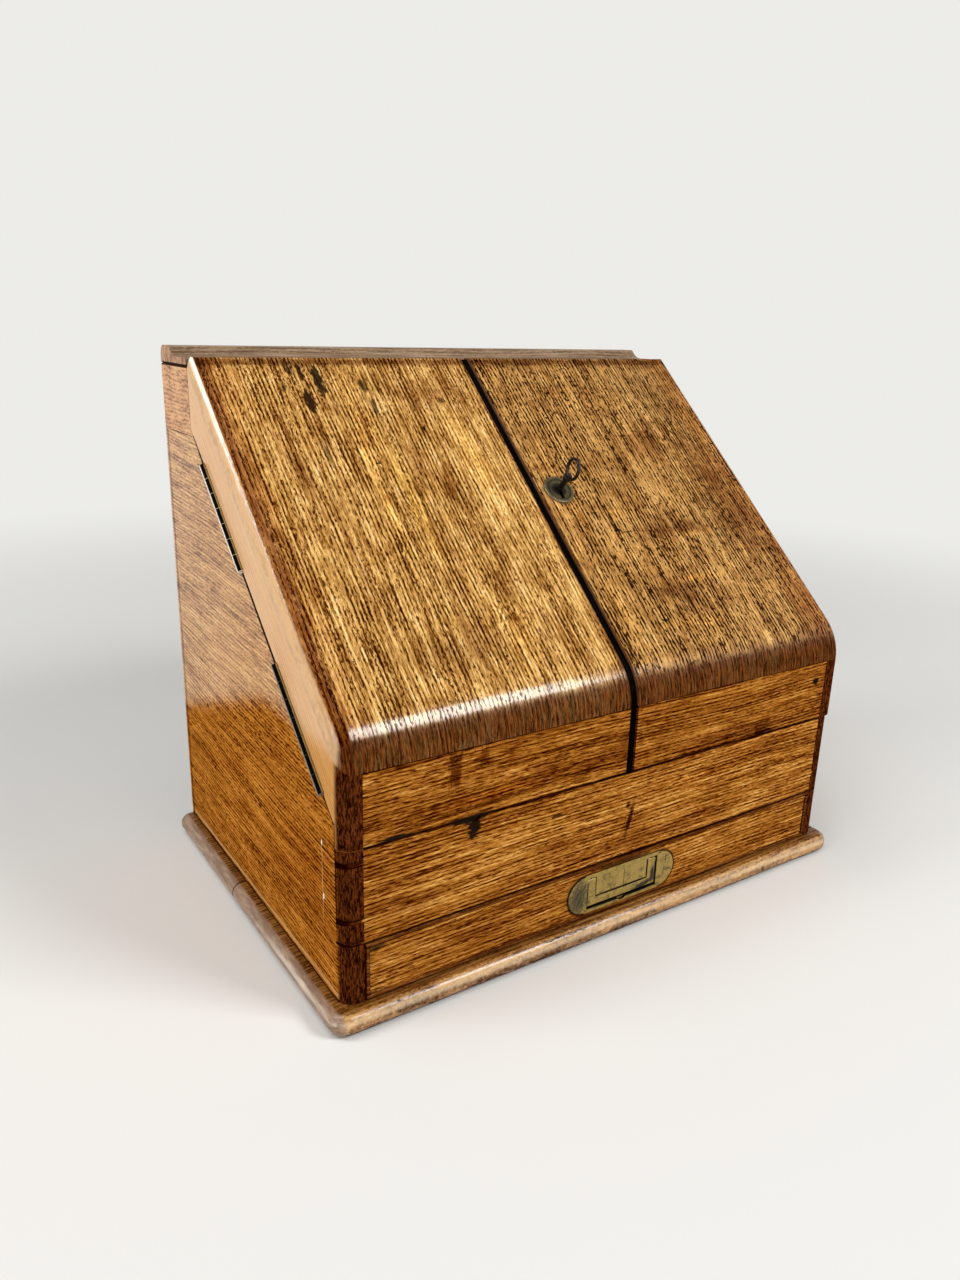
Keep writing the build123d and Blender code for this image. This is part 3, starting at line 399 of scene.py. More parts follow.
@dataclass(frozen=True)
class Oak:
    """A solid oak finish, with its sizes in millimetres.

    Attributes:
        name: name of the finish.
        grain: how the board was cut.
        tones: its colours from the darkest to the palest.
        middle: where along the tones its average lies.
        seed: which part of the pattern it shows.
        run: length over which the year rings keep their tone.
        bands: strength of the year rings.
        clouds: strength of the broad patches.
        fibres: strength of the fine fibres.
        pores: darkness of the open pores.
        pore_size: their width and length.
        pore_tint: what they multiply the colour by.
        sparse: how far apart they are: 0.5 is half the face, more is less.
        rays: strength of the pale ray figure across the grain.
        wander: how far the grain strays.
        end_tint: what its end grain is multiplied by.
        end_tones: the two tones of its end grain, if it isn't just tinted.
        end_size: size of the speckles in these, along x, y and z.
        end_fade: how squarely a face crosses the grain where its end grain starts and is full.
        end_polish: share of the polish that its end grain holds.
        end_cover: how far the two tones hide the rest of the grain.
        flank: tone of its outer edge, if it is plain.
        outer: side on which its outer edge lies, -1 or 1.
        gloss: roughness of the wood.
        polish: weight of the polish over it.
        polish_gloss: roughness of the polish.
        polish_index: refractive index of the polish.
        worn_polish: weight of the polish below the line to which a side was handled.
        relief: depth of the grain.
        pitch: distance between the rows of pores.
        arris: tone of the outer arris, painted pale as wear and as a highlight, if it has one.
        bare_tint: what the colour is multiplied by where the polish is worn, below the line:
            painted shade.
        plan: the frame of its stains, if that isn't its grain's.
        stains: its patches.
        last_stains: patches that lie over its edges and end grain too.
    """

    name: str
    grain: Grain
    tones: Tones
    middle: float = 0.5
    seed: float = 0
    run: float = 240
    bands: float = 0.8
    clouds: float = 0.8
    fibres: float = 1.1
    pores: float = 0.95
    pore_size: Pair = (0.7, 2.4)
    pore_tint: Triple = (0.12, 0.045, 0.01)
    sparse: float = 0.57
    rays: float = 0
    wander: float = 4
    end_tint: Triple = (0.26, 0.14, 0.09)
    end_tones: Optional[tuple[Triple, Triple]] = None
    end_size: Triple = (0.9, 0.9, 4)
    end_fade: Pair = (0.28, 0.6)
    end_polish: float = 0.15
    end_cover: float = 1
    flank: Optional[Triple] = None
    outer: float = -1
    gloss: float = 0.5
    polish: float = 0.06
    polish_gloss: float = 0.16
    polish_index: float = 1.5
    worn_polish: Optional[float] = None
    relief: float = 0.08
    pitch: float = 2.7
    arris: Optional[Triple] = None
    bare_tint: Triple = (0.78, 0.66, 0.42)
    plan: Optional[Grain] = None
    stains: Stains = ()
    last_stains: Stains = ()

    def build(self) -> Material:
        """Make the material.

        Returns:
            The material.
        """
        graph = Graph(self.name)
        # the place in the board, shifted by the seed and bent by the wander of the grain
        at = self.grain.coordinates(graph)
        seeded = graph.vector("ADD", at, tuple(self.seed * step for step in SEED_STEP))
        stray = graph.noise(seeded, (45, 45, 170), 1, colour=True)
        stray = graph.vector("SUBTRACT", stray, (0.5, 0.5, 0.5))
        stray = graph.vector("MULTIPLY", stray, (self.wander * 2, self.wander * 2, 0))
        bent = graph.vector("ADD", seeded, stray)

        # year rings, clouds and fibres
        bands = graph.noise(bent, (6, 12, self.run), 2, 0.6)
        clouds = graph.noise(bent, (12, 26, 0.2 * self.run), 3, 0.6)
        streaks = graph.noise(bent, (1.5, 6, 24), 1, 0.5)
        fibres = graph.noise(bent, (0.6, 4, 4), 1, 0.6)
        rows = graph.rows(bent, self.pitch)
        ground = graph.total([(bands, self.bands), (clouds, self.clouds), (rows, -0.16),
                              (streaks, self.fibres), (fibres, self.fibres)], self.middle)
        steps = len(self.tones) - 1
        colour = graph.ramp(ground, [(i / steps, c) for i, c in enumerate(self.tones)])

        # open pores, in rows
        width, length = self.pore_size
        veins = graph.noise(bent, (2 * width, 5, 14 * length), 1, 0.5)
        breaks = graph.noise(seeded, (width, 4, length), 1, 0.5)
        crowd = graph.total([(rows, 0.22), (veins, 0.6), (breaks, 1), (bands, -0.3)], 0.5)
        pore = graph.fade(crowd, self.sparse, self.sparse + 0.06)
        depth: Feed = self.pores
        polish: Feed = self.polish
        # Below a side's polish line the polish is worn and the colour is painted darker, as
        # shade.
        if self.worn_polish is not None:
            above_line = self.handled(graph, fibres)
            depth = graph.fade(above_line, 0, 1, self.pores, 0.6 * self.pores)
            polish = graph.fade(above_line, 0, 1, self.worn_polish, self.polish)
            colour = graph.mix(graph.math("SUBTRACT", 1, above_line), colour, self.bare_tint,
                               "MULTIPLY")
        colour = graph.mix(graph.math("MULTIPLY", pore, depth), colour, self.pore_tint,
                           "MULTIPLY")
        if self.rays:
            colour = self.figure(graph, seeded, colour)

        # stains, edges and end grain
        plan = self.plan.coordinates(graph) if self.plan else at
        for stain in self.stains:
            colour = stain.put(graph, plan, colour)
        end = graph.facing_share(self.grain.along)
        colour = self.edges(graph, ground, at, colour)
        share = graph.fade(end, *self.end_fade)
        if self.end_tones:
            speckle = graph.noise(graph.place, self.end_size, 2, 0.7)
            painted = graph.mix(graph.fade(speckle, 0.38, 0.68), *self.end_tones)
            colour = graph.mix(graph.math("MULTIPLY", share, self.end_cover), colour, painted)
        else:
            colour = graph.mix(share, colour, self.end_tint, "MULTIPLY")
        for stain in self.last_stains:
            colour = stain.put(graph, plan, colour)

        # relief, and polish that holds neither on dark spots nor on end grain
        sheen = graph.total([(clouds, 0.25), (fibres, -0.2), (pore, 0.2)], self.gloss)
        height = graph.total([(fibres, 0.5), (pore, -0.8)], 0.5)
        swell = graph.noise(seeded, (22, 22, 60), 1)
        wood = graph.bump(height, self.relief)
        skin = graph.bump(graph.total([(height, 0.12), (swell, 0.5)], 0.5), self.relief)
        red = graph.add("SeparateColor", {0: colour}).outputs[0]
        polish = graph.math("MULTIPLY", polish, graph.fade(red, 0.03, 0.26, 0.08, 1))
        polish = graph.math("MULTIPLY", polish, graph.fade(end, 0.36, 0.52, 1, self.end_polish))
        if self.arris:
            side = graph.facing_share((1, 0, 0))
            polish = graph.math("MULTIPLY", polish, graph.math(
                "MAXIMUM", graph.fade(side, 0.06, 0.25, 1, 0.1), graph.fade(side, 0.6, 0.72)))
        return graph.finish(
            Base_Color=colour, Roughness=sheen, Normal=wood, Specular_IOR_Level=0,
            Coat_Weight=polish, Coat_Roughness=self.polish_gloss, Coat_IOR=self.polish_index,
            Coat_Normal=skin)

    def figure(self, graph: Graph, at: Socket, colour: Socket) -> Socket:
        """The ray figure: pale wavy flecks and darker patches across the grain.

        Args:
            graph: the nodes.
            at: the place on the board.
            colour: the colour below.

        Returns:
            The figured colour.
        """
        shade = graph.fade(graph.noise(at, (30, 14, 13), 1, 0.5), 0.46, 0.66, 0, self.rays)
        colour = graph.mix(shade, colour, (0.68, 0.6, 0.55), "MULTIPLY")
        wave = graph.math("SUBTRACT", graph.noise(at, (9, 6, 2.4), 1, 0.6), 0.5)
        crest = graph.fade(graph.math("ABSOLUTE", wave), 0.05, 0.015)
        patch = graph.fade(graph.noise(at, (40, 30, 22), 2), 0.5, 0.62, 0, self.rays)
        return graph.mix(graph.math("MULTIPLY", crest, patch), colour, (1.4, 1.38, 1.25),
                         "MULTIPLY")

    def edges(self, graph: Graph, ground: Socket, at: Socket, colour: Socket) -> Socket:
        """Plain flanks, an inner flank painted dark as shade, and a worn arris painted pale as a
        highlight, where the board has them.

        Args:
            graph: the nodes.
            ground: tone of the wood.
            at: the place on the board.
            colour: colour of the board's faces.

        Returns:
            The colour with its edges.
        """
        side = graph.vector("DOT_PRODUCT", graph.facing, (self.outer, 0, 0))
        if self.flank:
            plain = graph.mix(graph.fade(ground, 0.1, 0.7, 0.45, 0), self.flank,
                              tuple(0.5 * c for c in self.flank))
            colour = graph.mix(graph.fade(side, 0.62, 0.8), colour, plain)
            # The inner flank, which faces the meeting gap, is painted dark as shade.
            colour = graph.mix(graph.fade(side, -0.4, -0.8), colour, (0.09, 0.035, 0.012))
        # The worn arris is painted pale, as wear and as a highlight.
        if self.arris:
            down = graph.vector("DOT_PRODUCT", at, (0, 0, 1))
            worn_and_lit = graph.total([(down, -0.007), (graph.grit(at, (1, 9)), 1.8)], 0.85)
            ridge = graph.math("MULTIPLY", graph.fade(side, 0.6, 0.68),
                               graph.fade(side, 0.88, 0.78))
            worn_and_lit = graph.math("MULTIPLY", ridge, graph.fade(worn_and_lit, 0, 0.7))
            colour = graph.mix(worn_and_lit, colour, self.arris)
        return colour

    def handled(self, graph: Graph, fibres: Socket) -> Socket:
        """Where a side keeps its polish: it is worn low down, and higher up at the front, where
        its colour is also painted darker, as shade.

        Args:
            graph: the nodes.
            fibres: the fine fibres, which fray its edge.

        Returns:
            1 where the polish is whole, 0 where it is worn and the colour is painted darker.
        """
        lines = []
        for slant, (start, end) in ((POLISH_LINE_SLANT, POLISH_LINE_RISING), (0, POLISH_LINE_LEVEL)):
            reach = graph.vector("DOT_PRODUCT", graph.place, (0, slant, 1))
            lines.append(graph.fade(graph.total([(reach, 1), (fibres, 8)], 0.5), start, end))
        return graph.math("MAXIMUM", *lines)


@dataclass(frozen=True)
class Metal:
    """A worn metal finish.

    Attributes:
        name: name of the finish.
        bright: colour of the bare metal.
        dull: colour of its patina.
        dirt_and_shade: colour of what lies in its corners, also painted as shade on its shaded
            faces and in its gaps.
        patina: how much of it is dull, 0 to 1.
        gloss: roughness.
        metallic: how metallic it is.
        specular: how strongly the rest of it reflects.
        grain: size of the patches, in millimetres.
        shaded: direction in which it is painted black, as shade in its gap and as dirt, if there
            is one.
        flats: the bright and dull tones of its faces along that direction.
        unshaded_face: direction of the face that is kept clean, if the faces turned from it are
            painted dark as shade in the gaps.
        stains: dirty patches, in a frame of x along and z across.
        board: the frame of its patches.
    """

    name: str
    bright: Triple
    dull: Triple
    dirt_and_shade: Triple
    patina: float = 0.5
    gloss: float = 0.4
    metallic: float = 1
    specular: float = 0.5
    grain: float = 4
    shaded: Optional[Triple] = None
    flats: tuple[Triple, Triple] = ((0.36, 0.25, 0.1), (0.2, 0.14, 0.06))
    unshaded_face: Optional[Triple] = None
    stains: Stains = ()
    board: Grain = Grain((1, 0, 0), (0, -1, 0))

    def build(self) -> Material:
        """Make the material.

        Returns:
            The material.
        """
        graph = Graph(self.name)
        at = self.board.coordinates(graph)
        patches = graph.noise(at, self.grain, 4, 0.65)
        fine = graph.noise(at, self.grain * 0.12, 2, 0.6)
        scratches = graph.noise(at, (0.35, 0.35, 9), 1)
        dull = graph.fade(graph.total([(patches, 1), (fine, 0.35)], self.patina), 0.4, 0.6)
        colour = graph.mix(dull, self.bright, self.dull)
        specks = graph.fade(graph.total([(fine, 1), (patches, 0.5)], 0.5), 0.62, 0.74)
        colour = graph.mix(specks, colour, self.dirt_and_shade)
        for stain in self.stains:
            colour = stain.put(graph, at, colour)
        # Faces towards the shaded direction are painted black, as shade and dirt.
        if self.shaded:
            dark = graph.vector("DOT_PRODUCT", graph.facing, self.shaded)
            colour = graph.mix(graph.fade(dark, 0.2, 0.4), colour, self.dirt_and_shade)
            leaf = graph.mix(specks, graph.mix(dull, *self.flats), self.dirt_and_shade)
            flat = graph.facing_share(self.shaded)
            colour = graph.mix(graph.fade(flat, 0.975, 0.99), colour, leaf)
        # Faces turned from the clean face are painted dark, as shade in the gaps.
        if self.unshaded_face:
            rim = graph.facing_share(self.unshaded_face)
            colour = graph.mix(graph.fade(rim, 0.85, 0.5), colour, self.dirt_and_shade)
        rough = graph.total([(patches, 0.35), (scratches, 0.3), (specks, 0.25)], self.gloss)
        height = graph.total([(scratches, 0.4), (fine, 0.5), (specks, -0.3)], 0.5)
        return graph.finish(Base_Color=colour, Metallic=self.metallic, Roughness=rough,
                            Specular_IOR_Level=self.specular, Normal=graph.bump(height, 0.05))


GOLDEN: Tones = (
    (0.09, 0.026, 0.002), (0.26, 0.1, 0.014), (0.52, 0.262, 0.065), (0.78, 0.46, 0.14),
    (1, 0.72, 0.33))
UMBER: Tones = (
    (0.08, 0.024, 0.003), (0.22, 0.088, 0.015), (0.46, 0.225, 0.06), (0.69, 0.385, 0.118),
    (0.92, 0.62, 0.26))
AMBER: Tones = (
    (0.09, 0.017, 0.001), (0.21, 0.058, 0.004), (0.365, 0.128, 0.013), (0.55, 0.235, 0.039),
    (0.78, 0.42, 0.11))
RUSSET: Tones = (
    (0.18, 0.06, 0.01), (0.38, 0.155, 0.032), (0.6, 0.285, 0.078), (0.74, 0.39, 0.125),
    (0.88, 0.52, 0.2))
BISCUIT: Tones = (
    (0.3, 0.125, 0.045), (0.52, 0.26, 0.11), (0.72, 0.4, 0.185), (0.8, 0.475, 0.24),
    (0.88, 0.56, 0.31))
CAP_TONES: Tones = (
    (0.07, 0.04, 0.022), (0.16, 0.1, 0.058), (0.27, 0.175, 0.105), (0.38, 0.265, 0.17),
    (0.5, 0.38, 0.27))
INSIDE: Tones = (
    (0.12, 0.05, 0.02), (0.28, 0.14, 0.06), (0.45, 0.27, 0.13), (0.56, 0.36, 0.19),
    (0.66, 0.46, 0.27))
POST_TONES: tuple[Triple, Triple] = ((0.015, 0.002, 0.0003), (0.14, 0.034, 0.007))

BLACK: Triple = (0.012, 0.007, 0.005)
BRUISE: Triple = (0.014, 0.007, 0.003)
# GRIME_AND_SHADE is dark dirt, also laid as painted shade in joints and gaps.
GRIME_AND_SHADE: Triple = (0.12, 0.06, 0.03)
JOINT_SHADE: Triple = (0.2, 0.12, 0.07)
BROWN: Triple = (0.62, 0.5, 0.42)
GOLD: Triple = (1.3, 1.3, 1.2)
STRAW: Triple = (1.35, 1.42, 1.25)

SLOPE_GRAIN = Grain(DOWN_SLOPE, OFF_SLOPE, SLOPE_TOP)
FRONT_GRAIN = Grain((1, 0, 0), (0, -1, 0), FRONT_FACE)
TOP_GRAIN = Grain((1, 0, 0), (0, 0, 1))
PLATE_GRAIN = Grain((1, 0, 0), (0, -1, 0), (PULL_X, 0, PULL_Z))


def paint(*values: object, turn: float = 0, **shape: bool) -> Stain:
    """A stain that hides what is under it: seven values of a stain, then its strength."""
    *first, strength = values
    return Stain(*first, turn, Lay.PAINT, strength, **shape)


def grime_line(across: float, half_width: float = 1.3) -> Stain:
    """Dark dirt and painted shade along an edge of a board, which reach half_width from it."""
    return Stain(across, 0, (half_width, ANYWHERE), GRIME_AND_SHADE, 0.75, 0.5, (1, 14))


def tone(across: float, along: float, wide: float, long: float, tint: Triple,
         turn: float = 0) -> Stain:
    """A broad soft change of tone, with half its size across and along the grain."""
    return Stain(across, along, (wide, long), tint, 0.95, 0.9, (4, 30), turn)


def knot(across: float, along: float, wide: float, long: float, turn: float = 0,
         strength: float = 0.95) -> Stain:
    """A small black knot or bruise, with half its size across and along the grain."""
    return paint(across, along, (wide, long), BRUISE, 0.3, 0.9, (1.2, 5), strength, turn=turn)


def side_plan(side: Side) -> Grain:
    """The frame for marks on a side: height across, and depth along."""
    return Grain((0, side.value, 0), (side.value, 0, 0))


def parting_line(side: Side) -> Stains:
    """Painted shade in the open joint between a side and the door's cheek, and along the joints
    at its top.

    Args:
        side: which side it is.

    Returns:
        The stains.
    """
    x = side.value
    joint = Stain(208.8, -18.15 * x, (1.5, 131), JOINT_SHADE, 0.25, 0.08, (1.2, 8), 42.2 * x, bar=True)
    return (joint, replace(joint, tint=BLACK, lay=Lay.PAINT, strength=0.95, sides_only=True),
            Stain(318, 79.6 * x, (21, 0.6), GRIME_AND_SHADE, 0.4, 0.2, (8, 1), bar=True),
            Stain(293.4, 104 * x, (0.6, 24.5), GRIME_AND_SHADE, 0.4, 0.2, (1, 8), bar=True))


def worn_edge(side: Side) -> Stain:
    """The darker wood along the outer edge of a slope."""
    return Stain(side.value * SIDE_X, 100, (34, ANYWHERE), (0.78, 0.62, 0.5), 0.95, 0.9, (7, 40))


# Marks on the slopes: distance from the middle, and distance down from the top edge.
# Darker along the top edge, and along the middle by the meeting slip.
DARK_TOP_AND_MIDDLE: Stains = (
    Stain(0, 3.5, (ANYWHERE, 5), (0.42, 0.32, 0.26), 0.8, 0.7, (9, 2)),
    Stain(2.5, 130, (5.4, ANYWHERE), (0.2, 0.12, 0.08), 0.5, 0.4, (1.5, 20)))
LEFT_SLOPE: Stains = (
    *DARK_TOP_AND_MIDDLE, tone(-105, 120, 5, 60, GOLD, -1), tone(-86, 110, 8, 70, STRAW),
    tone(-98, 60, 10, 55, GOLD), tone(-60, 215, 20, 30, GOLD), tone(-30, 90, 14, 60, GOLD),
    *(tone(*spot, BROWN) for spot in (
        (-139, 150, 3.5, 90), (-57, 110, 5, 40), (-150, 90, 8, 60), (-72, 92, 10, 26),
        (-40, 32, 44, 16), (-90, 205, 5, 45))),
    tone(-128, 58, 5, 22, (0.7, 0.55, 0.48)), tone(-112, 44, 4, 8, BROWN),
    Stain(-95, 222, (55, 17), (0.72, 0.66, 0.62), 0.95, 0.8, (4, 12)),
    Stain(-184, 130, (6, ANYWHERE), (0.5, 0.37, 0.3), 0.8, 0.9, (2, 12)),
    *(knot(*spot) for spot in (
        (-114, 19, 3.6, 16), (-125.6, 37, 3.4, 12), (-124, 12, 1.8, 9), (-131, 9, 2.8, 8, 0, 0.7),
        (-138, 24, 1.4, 5, 0, 0.7), (-85, 24, 2.8, 6.5, 0, 0.8), (-84, 43, 2, 9, -8, 0.8),
        (-33, 38, 3, 3, 0, 0.6), (-56, 62, 1.2, 2.4), (-129, 78, 1.2, 13, 0, 0.6),
        (-99, 88, 0.9, 1, 90))))
RIGHT_SLOPE: Stains = (
    *DARK_TOP_AND_MIDDLE, tone(24, 125, 17, 60, GOLD), tone(20, 215, 9, 40, GOLD),
    tone(150, 30, 60, 45, (0.84, 0.86, 0.9)), tone(60, 32, 14, 9, BROWN),
    Stain(118, 85, (34, 26), (0.7, 0.58, 0.5), 0.95, 0.7, (4, 10)),
    Stain(104, 160, (46, 11), (0.5, 0.39, 0.34), 0.95, 0.9, (3, 8)),
    Stain(68, 206, (38, 10), (0.5, 0.39, 0.34), 0.95, 0.9, (3, 8)),
    tone(160, 140, 26, 90, BROWN), tone(90, 200, 44, 3.5, (1.35, 1.25, 1)),
    tone(70, 232, 40, 6, GOLD), tone(175, 235, 26, 40, (0.8, 0.66, 0.52)),
    tone(60, 142, 20, 8, GOLD), tone(110, 165, 30, 4, GOLD), tone(80, 214, 12, 5, BROWN),
    *(knot(*spot) for spot in (
        (51, 156, 3, 1.6), (48.6, 227, 2.2, 1.2), (85.3, 217.3, 1, 2.6),
        (58, 158, 7, 0.8, 0, 0.7))),
    Stain(*LOCK, (15, 15), (0.4, 0.3, 0.22), 0.5, 0.5, (3, 4)))
# Black painted in the keyhole: its shade.
KEYHOLE_SHADE: Stains = (paint(LOCK[0], 121, (6, 9), BLACK, 0.2, 0, (3, 4), 1),)
# Marks on the upright front: height, and distance from the middle.
LEFT_STRIP: Stains = (
    *(Stain(*spot, tint, soft, 0.6, (6, 1.2), bar=True) for *spot, tint, soft in (
        (137, -122.5, (13, 5), (0.34, 0.22, 0.12), 0.6),
        (142, -104, (8.5, 3.8), (0.42, 0.28, 0.16), 0.7),
        (138, -86, (10, 3), (0.7, 0.55, 0.4), 0.8))),
    tone(118, -90, 5, 60, (1.15, 1, 0.8), 2),
    Stain(113.5, -95, (1.4, 52), (0.4, 0.28, 0.18), 0.7, 0.5, (1.5, 20), 1.5),
    # Black along the lower edge: painted shade of a chipped gap and of the joint.
    paint(107.3, -158, (2.4, 11), BLACK, 0.35, 0.5, (2, 6), 0.95),
    paint(107, -112, (1.6, 22), BLACK, 0.4, 0.4, (2, 8), 0.9))
RIGHT_STRIP: Stains = (
    knot(135.5, 168, 3, 3.6, strength=1), tone(112, 90, 8, 60, BROWN),
    Stain(109, 120, (4, 15), (0.2, 0.13, 0.09), 0.8, 0.8, (2, 4)),
    Stain(112, 86, (3, 11), (0.3, 0.2, 0.14), 0.8, 0.8, (2, 4)))
RAIL: Stains = (
    knot(101, -109.6, 8.5, 4.6, strength=1), knot(105.9, -113, 2.8, 11, strength=1),
    knot(91.5, -52, 1.3, 5.5, strength=0.8),
    Stain(74.5, 5.5, (17, 2.8), (0.14, 0.07, 0.04), 0.7, 0.5, (4, 1.2), -13),
    Stain(84, 3.5, (3, 2.6), (0.2, 0.1, 0.06), 0.6, 0.6, (2, 1.2)), tone(66, -150, 9, 30, BROWN),
    tone(58, 20, 6, 90, BROWN), Stain(47.5, -172, (5, 8), GRIME_AND_SHADE, 0.6, 0.7, (2, 3)),
    tone(90, 60, 5, 50, GOLD))
DRAWER: Stains = (
    grime_line(49), grime_line(14.5, 1),
    paint(46, -171.5, (4, 10), BLACK, 0.7, 0.8, (2, 3), 0.8),
    paint(15, -171, (5, 14), BLACK, 0.7, 0.8, (3, 4), 0.8),
    Stain(30, -176.5, (30, 1.2), GRIME_AND_SHADE, 0.5, 0.4, (6, 1), bar=True),
    tone(33, -110, 4, 40, BROWN),
    # Black behind the pull's round ends and a dark bar above the plate: painted shade of its
    # recess.
    *(paint(PULL_Z, PULL_X + x, (14.7, 14.7), BLACK, 0.09, 0.04, (3, 3), 0.9)
      for x in (-PULL_END, PULL_END)),
    paint(45, PULL_X, (2.6, 31), (0.03, 0.01, 0.003), 0.6, 0.2, (1, 8), 0.85, bar=True),
    Stain(PULL_Z, PULL_X, (16, 44), (0.6, 0.42, 0.3), 0.5, 0.3, (3, 6)))
# Marks on the left side: height, and distance from the middle towards the front.
SIDE_MARKS: Stains = (
    Stain(86, 116, (36, 0.9), GRIME_AND_SHADE, 0.4, 0.2, (8, 1)),
    paint(80, 100, (30, 0.5), (0.75, 0.5, 0.22), 0.5, 0.6, (6, 1), 0.7),
    *(paint(*spot, (0.9, 0.85, 0.7), 0.5, 0.4, (2, 1), 1) for spot in (
        (103, 100, (2.2, 0.9)), (71, 101, (2.6, 1.2)))),
    Stain(117, -80, (1.8, 2.4), GRIME_AND_SHADE, 0.5, 0.5, (2, 2)), grime_line(14.6, 1.6),
    paint(18.2, 0, (2, ANYWHERE), (0.66, 0.38, 0.15), 0.7, 0.5, (1.5, 20), 0.65),
    tone(75, 80, 60, 60, (0.82, 0.72, 0.6)), tone(45, -60, 30, 60, (1.1, 1.15, 1.2)))
CORNER_MARKS: Stains = tuple(
    paint(z, 123, (wide, 6), (0.025, 0.006, 0.002), 0.7, 0.4, (2, 3), 0.9)
    for z, wide in ((99, 2.2), (65, 2.4), (52.5, 1.2)))

LEFT_SLOPE_OAK = Oak(
    "oak_slope_left", SLOPE_GRAIN, GOLDEN, 0.52, 1, run=110, bands=0.7, rays=0.25, wander=2.5,
    pore_tint=(0.14, 0.055, 0.012), end_tones=((0.016, 0.003, 0.0005), (0.18, 0.045, 0.008)),
    end_size=(0.7, 9, 9), end_fade=(0.2, 0.4), end_polish=0.06, end_cover=0.9, polish=0.85,
    flank=(0.72, 0.43, 0.21), arris=(0.9, 0.78, 0.62),
    stains=(worn_edge(Side.LEFT), *LEFT_SLOPE))
RIGHT_SLOPE_OAK = replace(
    LEFT_SLOPE_OAK, name="oak_slope_right", tones=UMBER, middle=0.5, seed=2, run=150, bands=0.55,
    clouds=0.5, rays=0.7, fibres=0.8, pore_size=(0.95, 3.4), pore_tint=(0.05, 0.018, 0.004),
    sparse=0.53, outer=1, arris=None, stains=(worn_edge(Side.RIGHT), *RIGHT_SLOPE),
    last_stains=KEYHOLE_SHADE)
FRONT_OAK = Oak(
    "oak_drawer_front", FRONT_GRAIN, AMBER, 0.5, 41, pitch=2.5, pore_size=(0.55, 5.5),
    pore_tint=(0.22, 0.085, 0.02), stains=DRAWER)
# A black line at the seam between the top rail and the cap: painted shade.
TOP_SEAM_SHADE = paint(334, 0, (1.3, ANYWHERE), BLACK, 0.35, 0.1, (1, 20), 0.95)
TOP_RAIL_OAK = Oak(
    "oak_top_rail", FRONT_GRAIN, BISCUIT, 0.45, 21, pores=0.5, fibres=0.8, pore_size=(0.9, 6),
    polish=0.9, polish_index=1.6, end_polish=0.6, end_tint=(0.95, 0.85, 0.75), plan=FRONT_GRAIN,
    stains=(TOP_SEAM_SHADE,))
# The cap's end grain is tinted paler than its face: painted reflection.
CAP_OAK = Oak(
    "oak_cap", TOP_GRAIN, CAP_TONES, 0.5, 22.5, pores=0.3, fibres=0.7, clouds=0.4, bands=0.5,
    polish=0.4, end_tint=(1.7, 1.55, 1.6), end_fade=(0.5, 0.8), plan=FRONT_GRAIN,
    stains=(TOP_SEAM_SHADE,))
BASE_OAK = Oak(
    "oak_base", TOP_GRAIN, UMBER, 0.42, 24.2, pores=0.5, fibres=0.8, bands=0.5, polish=1,
    polish_gloss=0.3, polish_index=1.6, end_tones=((0.22, 0.12, 0.065), (0.38, 0.235, 0.14)),
    end_size=(3, 16, 3), end_fade=(0.12, 0.5), end_polish=1, plan=side_plan(Side.RIGHT),
    # Darker low down: painted shade under the nosing. A darker line at its top. A pale band on
    # the front nosing: painted highlight.
    stains=(Stain(1, 0, (5, ANYWHERE), (0.3, 0.2, 0.14), 0.7, 0.6, (1.5, 20)),
            Stain(14.2, 0, (1.2, ANYWHERE), (0.5, 0.4, 0.28), 0.5, 0.9, (1.5, 3)),
            paint(9.8, -132, (3, 5), (0.95, 0.68, 0.38), 0.85, 0.6, (2.5, 6), 0.36)),
    # A pale band along the side nosing: painted highlight; a dark joint between the boards.
    last_stains=(paint(9.6, -75, (2.4, 75), (0.86, 0.74, 0.6), 0.8, 0.6, (1.5, 12), 0.6),
                 paint(8, BASE_JOINT, (ANYWHERE, 0.7), BLACK, 0.4, 0.2, (4, 1), 0.9, bar=True)))
BACK_OAK = Oak("oak_back", Grain((1, 0, 0), (0, 1, 0)), INSIDE, seed=30, middle=0.3, polish=0,
               gloss=0.75)
INSIDE_OAK = Oak("oak_inside_across", Grain((1, 0, 0), (0, -1, 0)), INSIDE, seed=33,
                 polish=0.15, gloss=0.6)
EBONY = Oak("ebonised_slip", SLOPE_GRAIN,
            ((0.001, 0.001, 0.001), (0.003, 0.0022, 0.002), (0.006, 0.0045, 0.004)),
            end_tint=(0.8, 0.8, 0.8), pores=0.4, gloss=0.4, relief=0.05, seed=51)
BEAD = Oak("bead_across", FRONT_GRAIN,
           ((0.04, 0.01, 0.002), (0.13, 0.036, 0.006), (0.3, 0.11, 0.022)),
           pores=0.4, gloss=0.4, polish=0, relief=0.05, seed=53,
           stains=tuple(grime_line(*edge) for edge in (
               (50, 0.9), (47.2, 0.8), (14.6, 0.9), (17.6, 0.8))))
